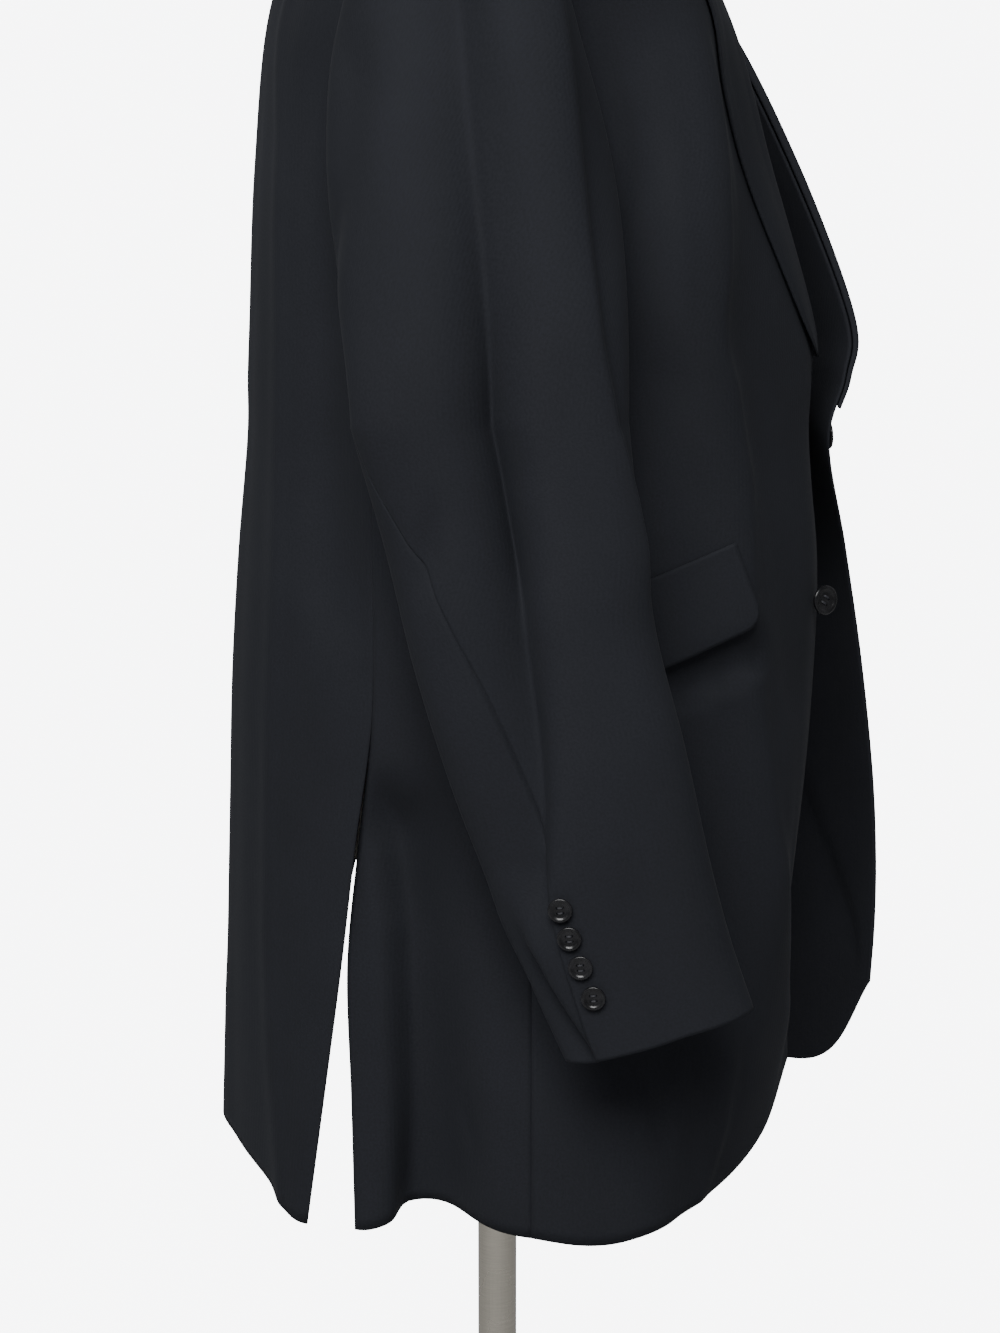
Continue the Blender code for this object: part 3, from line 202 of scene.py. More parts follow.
SLEEVE_CREASES = (
    ("rear_fold", (1.7, 2.3), -1.75,
     ((146, 0.04), (138.6, 0.034), (134.2, 0.028), (129.5, 0.02), (124.5, 0.01), (116.4, 0),
      (111.5, -0.004), (107, 0), (102.2, 0.012), (97.5, 0.036), (92.8, 0.07), (87.8, 0.124),
      (83, 0.192))),
    ("fore_fold", (1.1, 1.6), -0.85,
     ((146, 0.007), (138.5, 0.002), (133.9, -0.004), (125.3, -0.018), (121.2, -0.022), (112.2, -0.016),
      (108.1, -0.006), (102, 0.012))),
    ("front_ridge", (0.8, 2.2), 0.85,
     ((145, -0.058), (138.6, -0.066), (129.7, -0.084), (125.1, -0.094), (119, -0.112), (113.8, -0.146),
      (110.3, -0.17), (102, -0.2))),
    ("cuff_wedge", (1.1, 0.8), -1.4,
     ((87.5, 0.19), (83.3, 0.216), (81.2, 0.214), (77.6, 0.184), (72, 0.14))),
    ("elbow_pinch", (0.9, 0.6), -0.5,
     ((112, 0.07), (109.7, 0.087), (107.7, 0.109), (105.9, 0.131), (103, 0.16))),
    ("head_fold", (1.4, 0.8), -0.6,
     ((141, 0.148), (133.8, 0.14), (128.7, 0.18), (124.6, 0.245), (121, 0.29))),
    ("cuff_soft", (1.6, 1.6), -0.2, ((92, -0.06), (84, -0.045), (72, -0.02))),
    ("inner_hollow", (1.7, 1.7), -0.55, ((114, 0.47), (100, 0.485), (84, 0.5))),
    ("inner_ridge", (1.1, 1.1), 0.25, ((120, 0.61), (108, 0.58), (96, 0.56))),
    ("inner_elbow_high", (0.6, 0.6), -0.3, ((111, 0.5), (109, 0.56), (106.5, 0.62))),
    ("inner_elbow_low", (0.6, 0.6), -0.25, ((106, 0.52), (103.5, 0.58), (101.5, 0.63))),
    ("inner_elbow_small", (0.5, 0.5), -0.18, ((101.5, 0.51), (99.5, 0.57))),
)

ARMHOLE_TURNS = (0.0, 0.42, 0.58, 1.0)  # shoulder, rear and front of the underarm, shoulder
ARMHOLE_MIDDLE = (-1.6, 131.0)
ARMHOLE_CLEARANCE = 0.05
CAP_BULGE = 8.0
CAP_LEAVE = 4.0
CAP_PULL = 13.0
CAP_FALL = 26.0
CAP_HEIGHT = 32.0
SLEEVE_FRONT_SEAM = -0.36
SLEEVE_TOP_SEAM = 0.30
SLEEVE_VENT = (3.5, 3.85)  # rows of the table where the cuff's vent starts and where it is open
SLEEVE_UNDERLAP = 0.05  # turns
SECTION_POWER = 0.85

LAPEL_WIDTH = 8.2
LAPEL_FOOT_WIDTH = 0.5
LAPEL_WIDTH_POWER = 0.65
LAPEL_ROLL_RADIUS = 0.35
LAPEL_LIFT = 0.45

FLAP_LENGTH = 13.4
FLAP_DEPTH = 5.4
FLAP_FRONT_CORNER = (106.6, 13.3)  # its upper one: height, distance from the side seam
FLAP_SLOPE = math.radians(18.5)
FLAP_ROUNDING = 1.2
FLAP_DENT = (4.8, 7.9, 0.8)  # the dent under it: start and end down the flap's line, depth

# How fine the grids are: cells across each piece, and along it.
BACK_CELLS = 64
SIDE_CELLS = 40
FRONT_CELLS = 84
CELLS_PER_ROW = 10
LAPEL_LEVELS = 100
LAPEL_CELLS = 34
CAP_LEVELS = 44
ARM_LEVELS = 110
TOP_SLEEVE_CELLS = 104
UNDER_SLEEVE_CELLS = 64

CREASE_FADE = 6.0  # over how many centimetres a crease fades out at its ends
SEAM_REACH = 0.35  # how far from a panel's seam its dip reaches, in centimetres

FORM_SQUARENESS = 2.3
FORM_STEPS = 96

# The photo's viewpoint, in metres, and its lens, in millimetres.
CAMERA_PLACE = (0.002, -1.65, 1.255)
CAMERA_TILT = math.radians(79.8)
CAMERA_LENS = 64.8
CAMERA_SENSOR = 36

# The lights: size, place and what they point at, in metres.
KEY_LIGHT = ((2.2, 1.4), (-0.5, -2.5, 3.2), (0, 0, 1.05))
SIDE_LIGHT = ((1.4, 2.0), (-3.0, -1.8, 2.2), (0, 0, 1.1))
PAPER_GLOW = (0.97, 0.98, 1.0, 1)


# ---------------------------------------------------------------- settings


class JacketSizes(bpy.types.PropertyGroup):
    """Sizes of the cloth and the trims."""

    cloth: FloatProperty(
        name="Cloth", description="Thickness of the body cloth", default=0.0015, unit="LENGTH"
    )
    collar_cloth: FloatProperty(
        name="Collar cloth", description="Thickness of the lapels and collar", default=0.0020, unit="LENGTH"
    )
    seam_sink: FloatProperty(
        name="Seam sink", description="How far a pressed seam dips, in centimetres", default=0.03
    )
    folds: FloatProperty(
        name="Folds", description="Strength of the soft folds", default=1.0, min=0.0, max=2.0
    )
    front_button: FloatProperty(
        name="Front button", description="Radius of a front button", default=0.0098, unit="LENGTH"
    )
    cuff_button: FloatProperty(
        name="Cuff button", description="Radius of a cuff button", default=0.0074, unit="LENGTH"
    )


class JacketFinish(bpy.types.PropertyGroup):
    """Colours of the cloth, the trims and the stand."""

    cloth: FloatVectorProperty(
        name="Suiting", description="Base colour of the cloth", subtype="COLOR", size=3,
        default=(0.0128, 0.0137, 0.0170)
    )
    button: FloatVectorProperty(
        name="Buttons", description="Base colour of the buttons", subtype="COLOR", size=3,
        default=(0.008, 0.008, 0.009)
    )
    form: FloatVectorProperty(
        name="Form", description="Colour of the dress form's cover", subtype="COLOR", size=3,
        default=(0.62, 0.58, 0.50)
    )
    steel: FloatVectorProperty(
        name="Steel", description="Colour of the pole and base", subtype="COLOR", size=3,
        default=(0.50, 0.47, 0.40)
    )


class StudioSettings(bpy.types.PropertyGroup):
    """Floor, background and lights."""

    floor: FloatVectorProperty(
        name="Floor", description="Base colour of the floor, under its own glow", subtype="COLOR", size=3,
        default=(0.42, 0.42, 0.43)
    )
    paper: FloatProperty(name="Paper", description="How bright the floor and the wall look", default=7.5)
    key: FloatProperty(
        name="Key light", description="Power of the main soft light", default=172.0, unit="POWER"
    )
    side: FloatProperty(
        name="Side light", description="Power of the weak light on the jacket's back", default=5.0,
        unit="POWER"
    )
    fill: FloatProperty(name="Surroundings", description="Strength of the light from all round", default=0.13)


# ---------------------------------------------------------------- curves and patches


def spline_weights(t):
    """The four weights of a Catmull-Rom segment at t in [0, 1]."""
    return (
        0.5 * (-t + 2 * t * t - t * t * t),
        0.5 * (2 - 5 * t * t + 3 * t * t * t),
        0.5 * (t + 4 * t * t - 3 * t * t * t),
        0.5 * (-t * t + t * t * t),
    )


def sample(points, places, before=None, after=None):
    """Points on the smooth curve through `points`, at places counted in points from 0."""
    points = np.asarray(points, float)
    first = 2 * points[0] - points[1] if before is None else before
    last = 2 * points[-1] - points[-2] if after is None else after
    padded = np.concatenate([[first], points, [last]])
    found = []
    for place in places:
        segment = min(int(place), len(points) - 2)
        weights = spline_weights(place - segment)
        found.append(sum(w * padded[segment + i] for i, w in enumerate(weights)))
    return np.array(found)


def table_points(rows):
    return np.array([[(x, y, z) for z, x, y in row[1:]] for row in rows], float)


def row_number(rows, name):
    return [row[0] for row in rows].index(name)


def even_places(row, cells, before=None, after=None):
    """Places along one row that are equally far apart, so that the cells are even."""
    fine = np.linspace(0, len(row) - 1, 12 * (len(row) - 1) + 1)
    line = sample(row, fine, before, after)
    lengths = np.concatenate([[0], np.cumsum(np.linalg.norm(np.diff(line, axis=0), axis=1))])
    return np.interp(np.linspace(0, lengths[-1], cells + 1), lengths, fine)


def beside(rows, table, column, edge, inner):
    """A column of the next panel, by row name; above that panel the border runs straight on."""
    own = table_points(rows)
    named = {row[0]: row[1:][column] for row in table}
    found = []
    for i, row in enumerate(rows):
        if row[0] in named:
            z, x, y = named[row[0]]
            found.append((x, y, z))
        else:
            found.append(own[i, edge] + 0.5 * (own[i, edge] - own[i, inner]))
    return np.array(found, float)


def panel_grid(rows, cells, before, after, top=None):
    """A panel's surface, as an array of points [up][across][x, y, z] in centimetres."""
    columns = table_points(rows)
    places = np.linspace(0, len(rows) - 1, (len(rows) - 1) * CELLS_PER_ROW + 1)
    levels = sample(columns, places, after=top)
    befores = sample(before, places)
    afters = sample(after, places)
    grid = []
    for level, first, last in zip(levels, befores, afters):
        across = even_places(level, cells, first, last)
        grid.append(sample(level, across, first, last))
    return np.array(grid)


def past(point, inner):
    """Where a line from `inner` to `point` would come to next."""
    return 2 * np.asarray(point, float) - np.asarray(inner, float)


def normals_of(grid):
    """Unit normals of a grid that point out of the garment."""
    normal = np.cross(np.gradient(grid, axis=0, edge_order=2), np.gradient(grid, axis=1, edge_order=2))
    return normal / np.maximum(np.linalg.norm(normal, axis=2, keepdims=True), 1e-9)


def uneven(side, number):
    """A small shift, the same each time, so that the two sides don't match fold for fold."""
    return math.sin(7.3 * number + 2.1 * side) if side > 0 else 0.0


def run_across(grid):
    """How far each point lies from the grid's first column, along its row."""
    steps = np.linalg.norm(np.diff(grid, axis=1), axis=2)
    return np.concatenate([np.zeros((len(grid), 1)), np.cumsum(steps, axis=1)], axis=1)


def crease_rise(across, up, path, widths, depth):
    """How far a crease lifts the cloth; its path and the points are (across, up) in centimetres.

    widths: on the side of smaller `across`, and on the other side.
    """
    path = np.asarray(path, float)
    steps = np.diff(path, axis=0)
    lengths = np.linalg.norm(steps, axis=1)
    starts = np.concatenate([[0], np.cumsum(lengths)])
    nearest = np.full(across.shape, 1e9)
    gone = np.zeros(across.shape)
    width = np.ones(across.shape)
    for (x, z), (dx, dz), length, start in zip(path, steps, lengths, starts):
        t = np.clip(((across - x) * dx + (up - z) * dz) / length**2, 0, 1)
        distance = np.hypot(across - x - t * dx, up - z - t * dz)
        closer = distance < nearest
        beyond = dx * (up - z) - dz * (across - x) > 0
        gone = np.where(closer, start + t * length, gone)
        width = np.where(closer, np.where(beyond, widths[1], widths[0]), width)
        nearest = np.where(closer, distance, nearest)
    taper = np.clip(np.minimum(gone, starts[-1] - gone) / min(CREASE_FADE, starts[-1] / 2), 0, 1)
    return depth * taper * taper * (3 - 2 * taper) * np.exp(-((nearest / width) ** 2))


def folded(grid, creases, side, strength):
    """Moves a grid out and in along its soft creases, and by the cloth's slow waves."""
    normal = normals_of(grid)
    across = run_across(grid)
    up = grid[:, :, 2]
    heights = up.mean(axis=1)
    rise = 0.024 * np.sin(across / 2.6 + up / 9.0 + side) * np.sin(up / 13.0 + 1.3 + side)
    rise += 0.008 * np.sin(across / 1.1 - up / 6.1 + 2 * side) * np.sin(up / 5.3 + across / 4.0)
    for number, (_, widths, depth, path) in enumerate(creases):
        shift = 0.02 * uneven(side, number)
        line = [((share + shift) * np.interp(z, heights, across[:, -1]), z) for z, share in path]
        rise += crease_rise(across, up, line, widths, depth * (1 + 0.25 * uneven(side, number + 5)))
    share = across / across[:, -1:]
    border = np.clip(np.minimum(share, 1 - share) / 0.06, 0, 1)
    return grid + normal * (strength * rise * border)[:, :, None]


def pressed(grid, sink, left=False, right=False, top=False):
    """Dips a grid along its seams, as pressing leaves them.

    Two panels dip the same way at the seam that they share, towards the pole or down, so that
    their borders stay together.
    """
    inward = -grid * np.array([1, 1, 0])
    inward /= np.linalg.norm(inward, axis=2, keepdims=True)
    across = run_across(grid)
    up = run_across(grid.transpose(1, 0, 2)).T
    moved = grid.copy()
    if left:
        moved += sink * np.exp(-((across / SEAM_REACH) ** 2))[:, :, None] * inward
    if right:
        moved += sink * np.exp(-(((across[:, -1:] - across) / SEAM_REACH) ** 2))[:, :, None] * inward
    if top:
        moved[:, :, 2] -= sink * np.exp(-(((up[-1:] - up) / SEAM_REACH) ** 2))
        moved[-1] = grid[-1] - np.array([0, 0, sink])
    return moved


def for_side(grid, side):
    """The wearer's right half is at -Y: side is -1 there and +1 on the left."""
    return grid * np.array([1, side, 1])


# ---------------------------------------------------------------- panels


def back_rows(side):
    """The back's table, with the left vent's edge set back."""
    if side < 0:
        return BACK_ROWS
    rows = []
    for name, centre, turn, (z, x, y) in BACK_ROWS:
        rows.append((name, centre, turn, (z, x - LEFT_VENT_SET_BACK.get(name, 0.0), y)))
    return tuple(rows)


def back_grid(side, strength=1.0):
    rows = back_rows(side)
    points = table_points(rows)
    before = points[:, 1] * np.array([1, -1, 1])
    after = beside(rows, SIDE_ROWS, 1, 2, 1)
    over = table_points(FRONT_RIGHT_ROWS)[-2]
    top = np.array([past(points[-1, 0], points[-2, 0]), over[-1], over[0]])
    grid = folded(panel_grid(rows, BACK_CELLS, before, after, top), BACK_CREASES, side, strength)
    shoulder = table_points(FRONT_RIGHT_ROWS)[-1][::-1]
    seam = sample(shoulder, np.linspace(0, len(shoulder) - 1, 81))
    for point in grid[-1]:
        if point[1] > seam[0, 1]:
            point[0] = np.interp(point[1], seam[:, 1], seam[:, 0])
            point[2] = np.interp(point[1], seam[:, 1], seam[:, 2])
    return grid


def side_grid(side, strength=1.0):
    rows = SIDE_ROWS
    points = table_points(rows)
    before = beside(rows, BACK_ROWS, 1, 0, 1)
    after = beside(rows, FRONT_RIGHT_ROWS, 1, 2, 1)
    blade_back = table_points(BACK_ROWS)[row_number(BACK_ROWS, "blade")][2]
    blade_front = table_points(FRONT_RIGHT_ROWS)[row_number(FRONT_RIGHT_ROWS, "blade")][0]
    top = np.array([blade_back, past(points[-1, 1], points[-2, 1]), blade_front])
    return folded(panel_grid(rows, SIDE_CELLS, before, after, top), SIDE_CREASES, side, strength)


def front_rows(side):
    return FRONT_RIGHT_ROWS if side < 0 else FRONT_LEFT_ROWS


def front_grid(side, strength=1.0):
    rows = front_rows(side)
    points = table_points(rows)
    before = beside(rows, SIDE_ROWS, 1, 0, 1)
    after = past(points[:, -1], points[:, -2])
    over = table_points(BACK_ROWS)[-2]
    share = np.linspace(0, 1, points.shape[1])[:, None]
    top = over[2] * (1 - share) + over[1] * share
    grid = folded(panel_grid(rows, FRONT_CELLS, before, after, top), FRONT_CREASES, side, strength)
    return flap_dent(grid, strength)


def flap_dent(grid, strength):
    """The cloth falls in below the pocket flap, and comes back along a line beside its foot."""
    corner_height, corner_distance = FLAP_FRONT_CORNER
    rise, run = math.sin(FLAP_SLOPE), math.cos(FLAP_SLOPE)
    below = corner_height - grid[:, :, 2]
    behind = corner_distance - run_across(grid)
    to_front = below * rise + behind * run
    down = below * run - behind * rise
    start, end, depth = FLAP_DENT
    fall = np.clip((down - start) / (end - start), 0, 1) ** 1.3
    back = np.clip((end + 0.7 - down) / 0.7, 0, 1)
    ends = np.clip(np.minimum(to_front + 1.2, FLAP_LENGTH + 0.6 - to_front) / 1.5, 0, 1)
    amount = strength * depth * fall * back * ends * ends * (3 - 2 * ends)
    return grid - normals_of(grid) * amount[:, :, None]


def line_point(line, distance):
    """The point at a distance along a line of points, and the place along it."""
    steps = np.linalg.norm(np.diff(line, axis=0), axis=1)
    lengths = np.concatenate([[0], np.cumsum(steps)])
    distance = min(max(distance, 0.0), lengths[-1])
    i = min(int(np.searchsorted(lengths, distance, side="right")) - 1, len(steps) - 1)
    share = (distance - lengths[i]) / steps[i]
    return line[i] + (line[i + 1] - line[i]) * share, i + share


def place_on(grid, normal, row, distance, from_edge=True):
    """The point and normal on a panel's row, at a distance from its front edge or its seam."""
    low = min(int(row), len(grid) - 2)
    share = row - low
    line = grid[low] * (1 - share) + grid[low + 1] * share
    facing = normal[low] * (1 - share) + normal[low + 1] * share
    if from_edge:
        line = line[::-1]
        facing = facing[::-1]
    point, place = line_point(line, distance)
    i = min(int(place), len(line) - 2)
    out = facing[i] * (1 - place + i) + facing[i + 1] * (place - i)
    return point, out / np.linalg.norm(out)


def row_at_height(grid, z):
    """The row of a front, counted in rows, whose middle is at this height."""
    return float(np.interp(z, grid[:, FRONT_CELLS // 2, 2], np.arange(len(grid))))


# ---------------------------------------------------------------- making cloth


def sheet_mesh(name, grid, flip=False, closed=False):
    """A mesh of four-sided faces on a grid of points in centimetres, with a map in metres of cloth."""
    rows, columns = grid.shape[:2]
    mesh = bpy.data.meshes.new(name)
    faces = []
    for r in range(rows - 1):
        for c in range(columns if closed else columns - 1):
            d = (c + 1) % columns
            face = (r * columns + c, r * columns + d, (r + 1) * columns + d, (r + 1) * columns + c)
            faces.append(face[::-1] if flip else face)
    mesh.from_pydata((grid.reshape(-1, 3) * CM).tolist(), [], faces)
    across = run_across(grid) * CM
    steps = np.linalg.norm(np.diff(grid, axis=0), axis=2).mean(axis=1)
    up = np.concatenate([[0], np.cumsum(steps)]) * CM
    layer = mesh.uv_layers.new(name="cloth")
    index = np.zeros(len(mesh.loops), dtype=np.int32)
    mesh.loops.foreach_get("vertex_index", index)
    row, column = index // columns, index % columns
    layer.data.foreach_set("uv", np.stack([across[row, column], up[row]], axis=1).ravel())
    mesh.shade_smooth()
    return mesh


def add_object(name, mesh, finish):
    made = bpy.data.objects.new(name, mesh)
    if finish is not None:
        mesh.materials.append(finish)
    bpy.context.scene.collection.objects.link(made)
    return made


def add_cloth(name, grid, finish, node, flip=False, wall=0.0015):
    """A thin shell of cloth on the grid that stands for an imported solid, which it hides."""
    made = add_object(name, sheet_mesh(name, grid, flip), finish)
    solid = made.modifiers.new("cloth wall", "SOLIDIFY")
    solid.thickness = wall
    solid.offset = -1.0
    solid.use_rim = True
    solid.use_even_offset = True
    solid.thickness_clamp = 0.8
    apply_modifiers(made)
    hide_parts(node)
    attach(made, "root")


def apply_modifiers(made):
    """Keeps the modifiers' result as the object's mesh."""
    graph = bpy.context.evaluated_depsgraph_get()
    graph.update()
    mesh = bpy.data.meshes.new_from_object(made.evaluated_get(graph), depsgraph=graph)
    made.modifiers.clear()
    old = made.data
    made.data = mesh
    bpy.data.meshes.remove(old)


# ---------------------------------------------------------------- lapels, collar, flaps


def lapel_grid(side, strength):
    """The lapel: from the roll line at the front's edge, round the roll and back over the front."""
    rows = front_rows(side)
    front = front_grid(side, strength)
    normal = normals_of(front)
    start = row_number(rows, "break" if side < 0 else "rib")
    end = row_number(rows, "over")
    levels = np.linspace(start + 0.5, end - 0.1, LAPEL_LEVELS) * CELLS_PER_ROW
    first, last = levels[0], levels[-1]
    grid = []
    for level in levels:
        share = (level - first) / (last - first)
        width = LAPEL_FOOT_WIDTH + (LAPEL_WIDTH - LAPEL_FOOT_WIDTH) * share**LAPEL_WIDTH_POWER
        edge, out = place_on(front, normal, level, 0.0)
        inner, _ = place_on(front, normal, level, LAPEL_FOOT_WIDTH)
        ahead = (edge - inner) / np.linalg.norm(edge - inner)
        radius = LAPEL_ROLL_RADIUS * min(1.0, 0.45 + share)
        line = []
        for angle in np.linspace(15, 165, 9):
            turn = math.radians(angle)
            line.append(edge + ahead * (0.06 + radius * math.sin(turn)) + out * radius * (1 - math.cos(turn)))
        for i in range(LAPEL_CELLS):
            t = (i + 1) / LAPEL_CELLS
            point, out = place_on(front, normal, level, width * t)
            droop = LAPEL_LIFT + (2 * radius - LAPEL_LIFT) * (1 - t) ** 1.5
            droop -= 0.10 * max(0.0, t - 0.8) / 0.2
            droop += 0.04 * math.sin(3.1 * t + 7 * share + side) * t
            line.append(point + out * droop)
        grid.append(line)
    return np.array(grid)


def collar_grid():
    """The collar, from the right gorge round the neck to the left: seam, roll, free edge."""
    half = np.array([[(x, y, z) for z, x, y in station[1:]] for station in COLLAR_STATIONS], float)
    other = half[:-1] * np.array([1, -1, 1])
    stations = np.concatenate([other, half[::-1]])
    places = np.linspace(0, len(stations) - 1, 14 * (len(stations) - 1) + 1)
    lines = sample(stations, places)
    across = np.linspace(0, 2, 31)
    return np.array([sample(line, across) for line in lines])


def flap_grid(side, strength, length_cells=56, depth_cells=24):
    """The flap hangs at right angles to its slanted upper edge, and its foot stands off the front."""
    front = front_grid(side, strength)
    normal = normals_of(front)
    corner_height, corner_distance = FLAP_FRONT_CORNER
    rise, run = math.sin(FLAP_SLOPE), math.cos(FLAP_SLOPE)
    grid = []
    for j in range(depth_cells + 1):
        line = []
        share = j / depth_cells
        for i in range(length_cells + 1):
            to_front = FLAP_LENGTH * (1 - i / length_cells)
            end = min(to_front, FLAP_LENGTH - to_front)
            corner = max(0.0, FLAP_ROUNDING - end)
            depth = FLAP_DEPTH - FLAP_ROUNDING + math.sqrt(max(0.0, FLAP_ROUNDING**2 - corner**2))
            down = depth * share
            row = row_at_height(front, corner_height - to_front * rise - down * run)
            distance = corner_distance - to_front * run + down * rise
            point, out = place_on(front, normal, row, distance, from_edge=False)
            lift = 0.16 + 0.50 * share**1.3 + 0.05 * math.sin(to_front / 2.3 + side) * share
            line.append(point + out * lift)
        grid.append(line)
    return np.array(grid)[::-1]


# ---------------------------------------------------------------- sleeves


def ring_point(values, turn):
    """A point of a sleeve's section: turn 0 is its outer face, 0.25 its back, 0.75 its front."""
    z, x, y, width, thickness, rise = values[:6]
    angle = 2 * math.pi * turn
    across = -math.copysign(abs(math.sin(angle)) ** SECTION_POWER, math.sin(angle)) * width / 2
    out = math.copysign(abs(math.cos(angle)) ** SECTION_POWER, math.cos(angle)) * thickness / 2
    tilt = math.atan(rise)
    return np.array([x + across * math.cos(tilt), y + out, z + across * math.sin(tilt)])


def armhole_line():
    """The armhole's points and the turn at each, from the shoulder round the back to the front."""
    back = back_grid(-1, 0.0)[row_number(BACK_ROWS, "chest") * CELLS_PER_ROW :, -1][::-1]
    under = side_grid(-1, 0.0)[-1]
    fore = front_grid(-1, 0.0)[row_number(FRONT_RIGHT_ROWS, "chest") * CELLS_PER_ROW :, 0]
    points, turns = [], []
    for line, start, end in zip((back, under, fore), ARMHOLE_TURNS, ARMHOLE_TURNS[1:]):
        steps = np.linalg.norm(np.diff(line, axis=0), axis=1)
        lengths = np.concatenate([[0], np.cumsum(steps)])
        points.extend(line[:-1])
        turns.extend((start + (end - start) * lengths / lengths[-1])[:-1])
    return np.array(points + [points[0]]), np.array(turns + [1.0])


def armhole_point(armhole, turn):
    points, turns = armhole
    point = np.array([np.interp(turn % 1.0, turns, points[:, axis]) for axis in range(3)])
    x, z = ARMHOLE_MIDDLE
    inward = np.array([x - point[0], 0, z - point[2]])
    inward /= np.linalg.norm(inward)
    return point + (inward + np.array([0, 1, 0])) * ARMHOLE_CLEARANCE


def sleeve_values(level):
    return sample(np.array([row[1:] for row in SLEEVE_ROWS], float), [level])[0]


def cap_point(armhole, turn, t):
    """A point of the sleeve head, from the armhole at t = 0 to the bicep at t = 1."""
    start = armhole_point(armhole, turn)
    end = ring_point(SLEEVE_ROWS[0][1:], turn)
    drop = (start[2] - end[2]) / CAP_HEIGHT
    outward = math.cos(2 * math.pi * turn)
    forward = -math.sin(2 * math.pi * turn)
    swell = math.copysign(math.sqrt(abs(forward)), forward) * abs(forward)
    pull = CAP_LEAVE + (CAP_PULL - CAP_LEAVE) * max(0.0, outward)
    leave = np.array([CAP_BULGE * swell, pull, 1.5 * outward])
    arrive = np.array([0.0, 0.4 * outward, -CAP_FALL * max(0.25, drop)])
    start_share, leave_share = 2 * t**3 - 3 * t**2 + 1, t**3 - 2 * t**2 + t
    end_share, arrive_share = -2 * t**3 + 3 * t**2, t**3 - t**2
    return start_share * start + leave_share * leave + end_share * end + arrive_share * arrive


def ring_line(armhole, turns, level):
    """Points round the sleeve: its head at levels -1 to 0, its rows from 0."""
    if level < 0:
        return np.array([cap_point(armhole, turn, level + 1) for turn in turns])
    values = sleeve_values(level)
    return np.array([ring_point(values, turn) for turn in turns])


def back_seam_turn(level):
    """The turn at which the two sleeve parts meet at the back, at a level of the table."""
    if level < 0:
        return SLEEVE_TOP_SEAM + (SLEEVE_ROWS[0][7] - SLEEVE_TOP_SEAM) * (1 + level)
    return float(sample([[row[7]] for row in SLEEVE_ROWS], [level])[0][0])


def round_sleeve(turns, up, near=0.0):
    """How far round the sleeve from turn 0 these turns lie, in centimetres, counted next to `near`."""
    places = np.linspace(-1, 2, 601)
    ring = np.array([ring_point(SLEEVE_ROWS[0][1:], place) for place in places])
    gone = np.concatenate([[0], np.cumsum(np.linalg.norm(np.diff(ring, axis=0), axis=1))])
    gone -= np.interp(0.0, places, gone)
    heights, widths = zip(*[(row[1], row[4]) for row in reversed(SLEEVE_ROWS)])
    turned = (turns - near + 0.5) % 1.0 - 0.5 + near
    return np.interp(turned, places, gone) * np.interp(up, heights, widths) / widths[-1]


def sleeve_rise(turns, up, side):
    """How far a sleeve's cloth stands out at these turns and heights."""
    rise = 0.03 * np.sin(6 * math.pi * turns + up / 7.0 + side) * np.sin(up / 8.3 + 1.1)
    for number, (_, widths, depth, path) in enumerate(SLEEVE_CREASES):
        line_up, line_turns = np.array(path, float).T
        line_turns = line_turns + 0.008 * uneven(side, number)
        near = line_turns[len(line_turns) // 2]
        line = np.stack([round_sleeve(line_turns, line_up, near), line_up], axis=1)
        across = round_sleeve(turns, up, near)
        rise += crease_rise(across, up, line, widths, depth * (1 + 0.2 * uneven(side, number + 3)))
    return rise


def vent_open(level):
    """0 above the cuff's vent and 1 where it is open."""
    start, end = SLEEVE_VENT
    return min(max((level - start) / (end - start), 0.0), 1.0)


def sleeve_grid(armhole, from_turn, to_turn, cells, side, sizes, under):
    """Part of the sleeve between two turns, each a function of the level.

    Both parts dip alike at their seams. At the cuff's vent the top sleeve lies over the under one.
    """
    levels = list(np.linspace(-1, 0, CAP_LEVELS, endpoint=False))
    levels += list(np.linspace(0, len(SLEEVE_ROWS) - 1, ARM_LEVELS))
    turns = np.array([np.linspace(from_turn(level), to_turn(level), cells + 1) for level in levels])
    grid = np.array([ring_line(armhole, row, level) for row, level in zip(turns, levels)])
    ring = np.linspace(0, 1, 16, endpoint=False)
    middle = np.array([ring_line(armhole, ring, level).mean(axis=0) for level in levels])[:, None]
    way = (grid - middle) * np.array([1, 1, 0])
    way /= np.linalg.norm(way, axis=2, keepdims=True)
    up = grid[:, :, 2]
    rise = sizes.folds * sleeve_rise(turns, up, side)
    seam = np.array([back_seam_turn(level) for level in levels])[:, None]
    opened = np.array([vent_open(level) for level in levels])[:, None]
    for line, share in ((np.full(seam.shape, SLEEVE_FRONT_SEAM), 1.0), (seam, 1 - opened)):
        away = round_sleeve(turns, up, line) - round_sleeve(line, up, line)
        rise -= sizes.seam_sink * share * np.exp(-((away / 0.3) ** 2))
    if under:
        rise -= 0.22 * opened * np.exp(-((np.maximum(away, 0.0) / 1.6) ** 2))
    else:
        rise += 0.05 * opened * np.exp(-((away / 1.2) ** 2))
    fade = np.clip(2.5 * (np.array(levels) + 1), 0, 1)[:, None]
    return grid + way * (rise * fade)[:, :, None]


# ---------------------------------------------------------------- buttons


BUTTON_PROFILE = (  # share of the radius, share of the thickness
    (0, 0.62), (0.5, 0.62), (0.62, 0.66), (0.7, 0.82), (0.78, 0.97), (0.86, 1), (0.94, 0.94),
    (0.985, 0.8), (1, 0.6), (0.98, 0.38), (0.9, 0.16), (0.76, 0.04), (0.55, 0), (0, 0),
)


